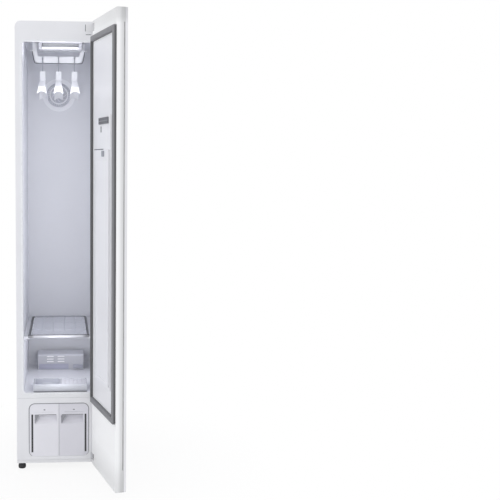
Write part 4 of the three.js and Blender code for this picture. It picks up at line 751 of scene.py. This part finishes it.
def make_duct_plate(name, sides, corner, back, front, edge, material):
    """A plate whose corner, edge and places behind the case's front are in mm."""
    back, front = at(0, back * MM, 0).y, at(0, front * MM, 0).y
    piece = pill(name, sides, corner * MM, back, front, edge * MM, material)
    own(piece, "cabinet", "liner_blue_grey")


def make_duct_details():
    make_duct_plate("duct_backing", front_sides(-97, 47, 326.2, 354), 2, 406, 403, 0.4, mouth_grey)
    make_duct_plate("nozzle_guard", front_sides(67, 105, 336.5, 345.5), 2, 401, 396, 1, nozzle_grey)
    slat_half, slat_low, slat_high = 15.5 * MM, 0.6, 5.2
    for group, middle in enumerate((-41, 8)):
        x = case_middle + middle * MM
        for row, level in enumerate((360, 372, 384)):
            sides = (x - slat_half, x + slat_half, (level + slat_low) * MM, (level + slat_high) * MM)
            make_duct_plate("louvre_%d_%d" % (group, row), sides, 1.6, 402, 398.4, 1.2, slat_pale)


make_duct_details()


# The backing of the light unit's air slot
def make_slot_backing():
    slot_grey = finish_material("slot_grey", tone(176, 177, 180), 0.6, spread=0.03)
    low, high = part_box("light_lens")
    middle = (low.x + high.x) / 2
    half, over_lens, rise = 75 * MM, 2.2 * MM, 15.8 * MM
    sides = (middle - half, middle + half, high.z + over_lens, high.z + rise)
    piece = pill("slot_backing", sides, 5 * MM, low.y + 12 * MM, low.y + 9 * MM, 1 * MM, slot_grey)
    own(piece, "cabinet", "grey_plastic")


make_slot_backing()


# A dark grey strip under the tray's front edge, painted shadow
def make_tray_shadow():
    low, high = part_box("floor_tray")
    sides = (low.x + 1 * MM, high.x - 1 * MM, 324.7 * MM, 327.3 * MM)
    piece = pill("tray_shadow", sides, 1.2 * MM, low.y - 0.4 * MM, low.y - 4.5 * MM, 0.7 * MM, shadow_grey)
    own(piece, "cabinet", "black_rubber")


make_tray_shadow()


# Hangers: a neck over two arched shoulders, in place of the plainer ones
NECK_HALF, NECK_REACH = 11.6 * MM, 16 * MM
SHOULDER_DROP, SHOULDER_SLOPE = 36 * MM, 44 * MM
FLARE_DROP, FLARE_POWER = 34 * MM, 1.8
TIP_INSET, TOP_INSET, ARCH, WALL = 2.2 * MM, 1.4 * MM, 9 * MM, 2.4 * MM


def hanger_ring(low, high, away, neck):
    """A hanger's outline in x and z, at a share of the way from its middle to its tip."""
    half = (high.x - low.x) / 2
    tip = TIP_INSET if away == 1 else 0
    top = high.z if neck else high.z - SHOULDER_DROP - SHOULDER_SLOPE * away
    bottom = low.z + SHOULDER_SLOPE * (1 - away) + tip
    flare_top = high.z - FLARE_DROP
    wide = NECK_HALF + (half - NECK_HALF) * (0.35 + 0.65 * away)
    outline = []
    for down in (0, 0.02, 0.12, 0.24, 0.36, 0.48, 0.6, 0.7, 0.8, 0.9, 0.96, 1):
        z = top - tip + (bottom - top + tip) * down
        flare = max(0, (flare_top - z) / (flare_top - bottom)) ** FLARE_POWER
        x = NECK_HALF + (wide - NECK_HALF) * flare - tip * 0.5
        if down == 0:
            x -= TOP_INSET
        outline.append((x, z))
    arch = ARCH * away
    ring = [(x, z) for x, z in reversed(outline)] + [(-x, z) for x, z in outline]
    inner = outline[-1][0] - WALL
    ring += [(-inner, bottom + 0.2 * MM), (-inner * 0.6, bottom + 0.7 * arch)]
    ring += [(0, bottom + arch), (inner * 0.6, bottom + 0.7 * arch), (inner, bottom + 0.2 * MM)]
    return ring


def make_hangers():
    for number, body in enumerate(hanger_bodies, 1):
        node = "hanger_%d" % number
        low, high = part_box(node)
        middle = Vector(((low.x + high.x) / 2, (low.y + high.y) / 2, 0))
        reach = (high.y - low.y) / 2
        places = [1, 0.985, 0.93, 0.82, 0.7, 0.58, 0.46, 0.34, 0.22, 0.13]
        shares = [(place, False) for place in places] + [(NECK_REACH / reach + 0.002, False)]
        shares += [(NECK_REACH / reach, True), (0.04, True)]
        shares = [(-share, neck) for share, neck in shares] + [(s, n) for s, n in reversed(shares)]
        points = []
        for share, neck in shares:
            ring = hanger_ring(low, high, abs(share), neck)
            points += [middle + Vector((x, share * reach, z)) for x, z in ring]
        faces = capped_faces(len(shares), len(ring))
        piece = new_piece("hanger_shell_%d" % number, points, faces, [finishes["hanger_white"]])
        harden(piece, 38)
        own(piece, body, "hanger_white", node)


make_hangers()


# Thin lines of painted shadow: the gap under the hanger bar, the hinge's bracket, the press board's top edge
# and the liner; and the press's small dark tab
line_grey = finish_material("line_grey", tone(110, 111, 116), 0.6, spread=0.05)
line_dark = finish_material("line_dark", tone(56, 56, 60), 0.6, spread=0.05)


def make_bar_line():
    low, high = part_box("hanger_bar")
    middle = (low.x + high.x) / 2
    y = (low.y + high.y) / 2 + 6 * MM
    path = []
    for x, z in ((-113.4, 1762), (-112.6, 1752), (-107.5, 1726), (-104, 1715), (-99, 1711.6)):
        path.append(Vector((middle + x * MM, y, z * MM)))
    path += [Vector((2 * middle - point.x, point.y, point.z)) for point in reversed(path)]
    own(tube("bar_line", path, 1.5 * MM, line_grey, 8), "hanger_bar", "grey_plastic")


make_bar_line()


def make_front_line(name, sides, corner, front, rise, edge, material, body, steps):
    """A thin plate that stands out of a front face by its rise, and reaches 0.2 mm into it."""
    piece = pill(name, sides, corner, front + 0.2 * MM, front - rise, edge, material, steps)
    own(piece, body, "grey_plastic")


def make_hinge_lines():
    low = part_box("top_hinge")[0]
    side, base, width = low.x - 0.2 * MM, low.z - 0.3 * MM, 2.4 * MM
    upright = (side - width, side, base + 12 * MM, base + 39 * MM)
    # painted shadow of the bracket, down its side and under its foot
    foot = (side, side + 22 * MM, base - width, base)
    for name, sides in (("hinge_line_side", upright), ("hinge_line_base", foot)):
        make_front_line(name, sides, 0.6 * MM, case_front, 0.5 * MM, 0.2 * MM, line_grey, "cabinet", 3)


make_hinge_lines()


def make_press_lines():
    press_face, liner_face = -7.9, -11.2
    sunk, edge = 0.3, -0.2 * MM
    line_low, line_high = 1331 + 1, 1331 + 4
    # left, right, low and high of each plate, closed, the face it lies on, its rise and finish
    # the top line and the liner's line paint the shadow gap along the top edge of the press board
    plates = {
        "press_tab": (8, 16, 1399, 1422, press_face, 0.8, line_dark),
        "press_top_line": (-22, 70, line_low, line_high, press_face, 0.4, line_grey),
        "liner_line": (74, 124, line_low, line_high, liner_face, 0.4, line_grey),
    }
    for name, (left, right, low, high, level, rise, shade) in plates.items():
        back, front = at(0, (level - sunk) * MM, 0).y, at(0, (level + rise) * MM, 0).y
        piece = pill(name, front_sides(left, right, low, high), 1 * MM, back, front, edge, shade, 3)
        own_on_door(piece, "door", "grey_plastic")
    low, high = closed_box("trouser_clip")
    sides = (low.x + 1 * MM, high.x - 8 * MM, low.z + 10 * MM, low.z + 13.6 * MM)
    rib_grey = finish_material("rib_grey", tone(150, 151, 156), 0.5)
    piece = pill("clip_rib", sides, 1 * MM, high.y - sunk * MM, high.y + 0.5 * MM, edge, rib_grey, 3)
    own_on_door(piece, "trouser_clip", "grey_plastic")


make_press_lines()


def make_tank_lines():
    shade = finish_material("scoop_shade", tone(150, 150, 156), 0.6, spread=0.05)
    edge = 0.1 * MM
    # the scoop's left edge and the mark's middle on each tank's front
    for body, scoop_left, mark_middle in (("supply_tank", -101, -60), ("drain_tank", 12, 62)):
        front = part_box(body + "_front")[0].y
        left = case_middle + scoop_left * MM
        # painted shadow under the scoop's top edge
        sides = (left, left + 90 * MM, 230 * MM, 232.4 * MM)
        make_front_line(body + "_scoop_shadow_line", sides, 0.8 * MM, front, 0.4 * MM, edge, line_grey, body, 3)
        # painted shadow cast by the scoop's left wall into the scoop
        corners = [(left, 229.6), (left + 19 * MM, 229.6), (left + 8 * MM, 212), (left, 194)]
        points = [Vector((x, front - 0.35 * MM, z * MM)) for x, z in corners]
        points += [Vector((x, front + 0.3 * MM, z * MM)) for x, z in corners]
        faces = [(0, 3, 2, 1), (4, 5, 6, 7)] + [(k, (k + 1) % 4, 4 + (k + 1) % 4, 4 + k) for k in range(4)]
        wedge = new_piece(body + "_scoop_shade", points, faces, [shade])
        harden(wedge, 30)
        own(wedge, body, "grey_plastic")
        # the mark is print, in the same grey
        middle = case_middle + mark_middle * MM
        sides = (middle - 4 * MM, middle + 4 * MM, 250 * MM, 255 * MM)
        make_front_line(body + "_mark", sides, 2.4 * MM, front, 0.3 * MM, edge, shade, body, 5)


make_tank_lines()


# Floor, lamps, world and camera
FLOOR_HALF, FLOOR_DROP = 7.0, 0.5 * MM
MOTTLE_SCALE = 3.0
LEAST_WHITE = 0.88  # the share of plain white in the floor under the cabinet
SHADOW_REACH = (0.3, 0.9)  # metres from the origin, between which that share rises to 1
SKY_COLOUR, SKY_STRENGTH = (0.97, 0.98, 1, 1), 0.98
WHITE = (1, 1, 1, 1)


def seen_by_eye(tree):
    """1 for camera rays, and for those that gloss and glass send on, so that they show white too."""
    rays = tree.nodes.new("ShaderNodeLightPath")
    share = rays.outputs["Is Camera Ray"]
    for kind in ("Is Glossy Ray", "Is Transmission Ray"):
        larger = tree.nodes.new("ShaderNodeMath")
        larger.operation = "MAXIMUM"
        tree.links.new(share, larger.inputs[0])
        tree.links.new(rays.outputs[kind], larger.inputs[1])
        share = larger.outputs[0]
    return share


def make_floor():
    corners = ((-1, -1), (1, -1), (1, 1), (-1, 1))
    points = [Vector((x * FLOOR_HALF, y * FLOOR_HALF, -FLOOR_DROP)) for x, y in corners]
    shader = Shader("floor")
    shader.main.inputs["Roughness"].default_value = 0.9
    shader.main.inputs["Specular IOR Level"].default_value = 0.1
    stops = [(NOISE_LOW, tone(240, 240, 240)), (NOISE_HIGH, tone(243, 243, 243))]
    mottle = shader.noise(MOTTLE_SCALE, GRAIN_DETAIL)
    shader.link(shader.ramp(mottle, stops), shader.main.inputs["Base Color"])
    glow = shader.add("ShaderNodeEmission")
    glow.inputs["Color"].default_value = WHITE
    distance = shader.add("ShaderNodeVectorMath")
    distance.operation = "LENGTH"
    shader.link(shader.place, distance.inputs[0])
    share = shader.add("ShaderNodeMath")
    share.operation = "MULTIPLY"
    shader.link(shader.span(distance.outputs["Value"], LEAST_WHITE, 1.0, *SHADOW_REACH), share.inputs[0])
    shader.link(seen_by_eye(shader.tree), share.inputs[1])
    blend = shader.add("ShaderNodeMixShader")
    shader.link(share.outputs[0], blend.inputs["Fac"])
    shader.link(shader.main.outputs["BSDF"], blend.inputs[1])
    shader.link(glow.outputs["Emission"], blend.inputs[2])
    shader.link(blend.outputs["Shader"], shader.out.inputs["Surface"])
    new_piece("floor", points, [(0, 1, 2, 3)], [shader.material])


make_floor()


def area_lamp(name, place, target, width, height, power, colour=(1, 1, 1)):
    data = bpy.data.lights.new(name, "AREA")
    data.shape = "RECTANGLE"
    data.size = width
    data.size_y = height
    data.energy = power
    data.color = colour
    lamp = bpy.data.objects.new(name, data)
    lamp.location = place
    lamp.rotation_euler = (Vector(target) - Vector(place)).to_track_quat("-Z", "Y").to_euler()
    lamp.visible_camera = False
    lamp.visible_glossy = False
    bpy.context.scene.collection.objects.link(lamp)


def make_lamps():
    # name, place, target, width, height and power
    area_lamp("key", (-1.0, -1.4, 1.3), (0, 0, 1.0), 0.7, 1.6, 1.2)
    area_lamp("side", (-1.9, -0.5, 1.0), (0.2, -0.2, 1.0), 0.7, 1.6, 1.6)
    # light that enters through the compartment's mouth, over and under the shelf
    mouth, back = -10 * MM, 500 * MM
    for name, level, height, power in (("upper_mouth", 1200, 0.94, 0.74), ("lower_mouth", 470, 0.12, 0.26)):
        area_lamp(name, at(0, mouth, level * MM), at(0, back, level * MM), 0.09, height, power)
    # light inside: up to the ceiling, down under the shelf and down from the light unit
    area_lamp("ceiling", at(0, 60 * MM, 1690 * MM), at(0, 61 * MM, 1800 * MM), 0.18, 0.1, 0.26)
    under = at(0, 235 * MM, 540 * MM)
    area_lamp("under_shelf", under, (under.x, under.y + 0.002, 0.33), 0.18, 0.24, 0.13)
    lens_low, lens_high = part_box("light_lens")
    x, y = (lens_low.x + lens_high.x) / 2, lens_high.y + 190 * MM
    cool = (0.96, 0.975, 1)
    area_lamp("inner", (x, y, lens_low.z - 1 * MM), (x, y + 0.02, 0.9), 0.2, 0.12, 0.11, cool)


make_lamps()


def make_world():
    world = bpy.data.worlds.new("studio")
    bpy.context.scene.world = world
    world.use_nodes = True
    tree = world.node_tree
    tree.nodes.clear()
    out = tree.nodes.new("ShaderNodeOutputWorld")
    sky = tree.nodes.new("ShaderNodeBackground")
    sky.inputs["Color"].default_value = SKY_COLOUR
    sky.inputs["Strength"].default_value = SKY_STRENGTH
    white = tree.nodes.new("ShaderNodeBackground")
    white.inputs["Color"].default_value = WHITE
    blend = tree.nodes.new("ShaderNodeMixShader")
    tree.links.new(seen_by_eye(tree), blend.inputs["Fac"])
    tree.links.new(sky.outputs["Background"], blend.inputs[1])
    tree.links.new(white.outputs["Background"], blend.inputs[2])
    tree.links.new(blend.outputs["Shader"], out.inputs["Surface"])


make_world()

# The camera comes from fitting the corners of the case and of the door. Its shift is held below the
# fitted one, because the other views keep it, and its turn makes up for most of the difference.
CAMERA_PLACE = at(16.5 * MM, -3525.1 * MM, 1282.7 * MM)
CAMERA_YAW, CAMERA_PITCH, CAMERA_ROLL = 0.072752, -0.0784449, 0.0042299
LENS_LENGTH, SENSOR_WIDTH = 61.791, 36
SHIFT_X, SHIFT_Y = 0.25, -0.04


def make_camera():
    yaw, pitch, roll = CAMERA_YAW, CAMERA_PITCH, CAMERA_ROLL
    ahead = Vector((math.sin(yaw) * math.cos(pitch), math.cos(yaw) * math.cos(pitch), math.sin(pitch)))
    level = Vector((math.cos(yaw), -math.sin(yaw), 0))
    upright = level.cross(ahead)
    right = math.cos(roll) * level + math.sin(roll) * upright
    up = -math.sin(roll) * level + math.cos(roll) * upright
    data = bpy.data.cameras.new("camera")
    data.sensor_width = SENSOR_WIDTH
    data.lens = LENS_LENGTH
    data.shift_x = SHIFT_X
    data.shift_y = SHIFT_Y
    camera = bpy.data.objects.new("camera", data)
    turn = Matrix((right, up, -ahead)).transposed().to_4x4()
    camera.matrix_world = Matrix.Translation(CAMERA_PLACE) @ turn
    bpy.context.scene.collection.objects.link(camera)
    bpy.context.scene.camera = camera


make_camera()

bpy.context.scene.view_settings.view_transform = "Standard"
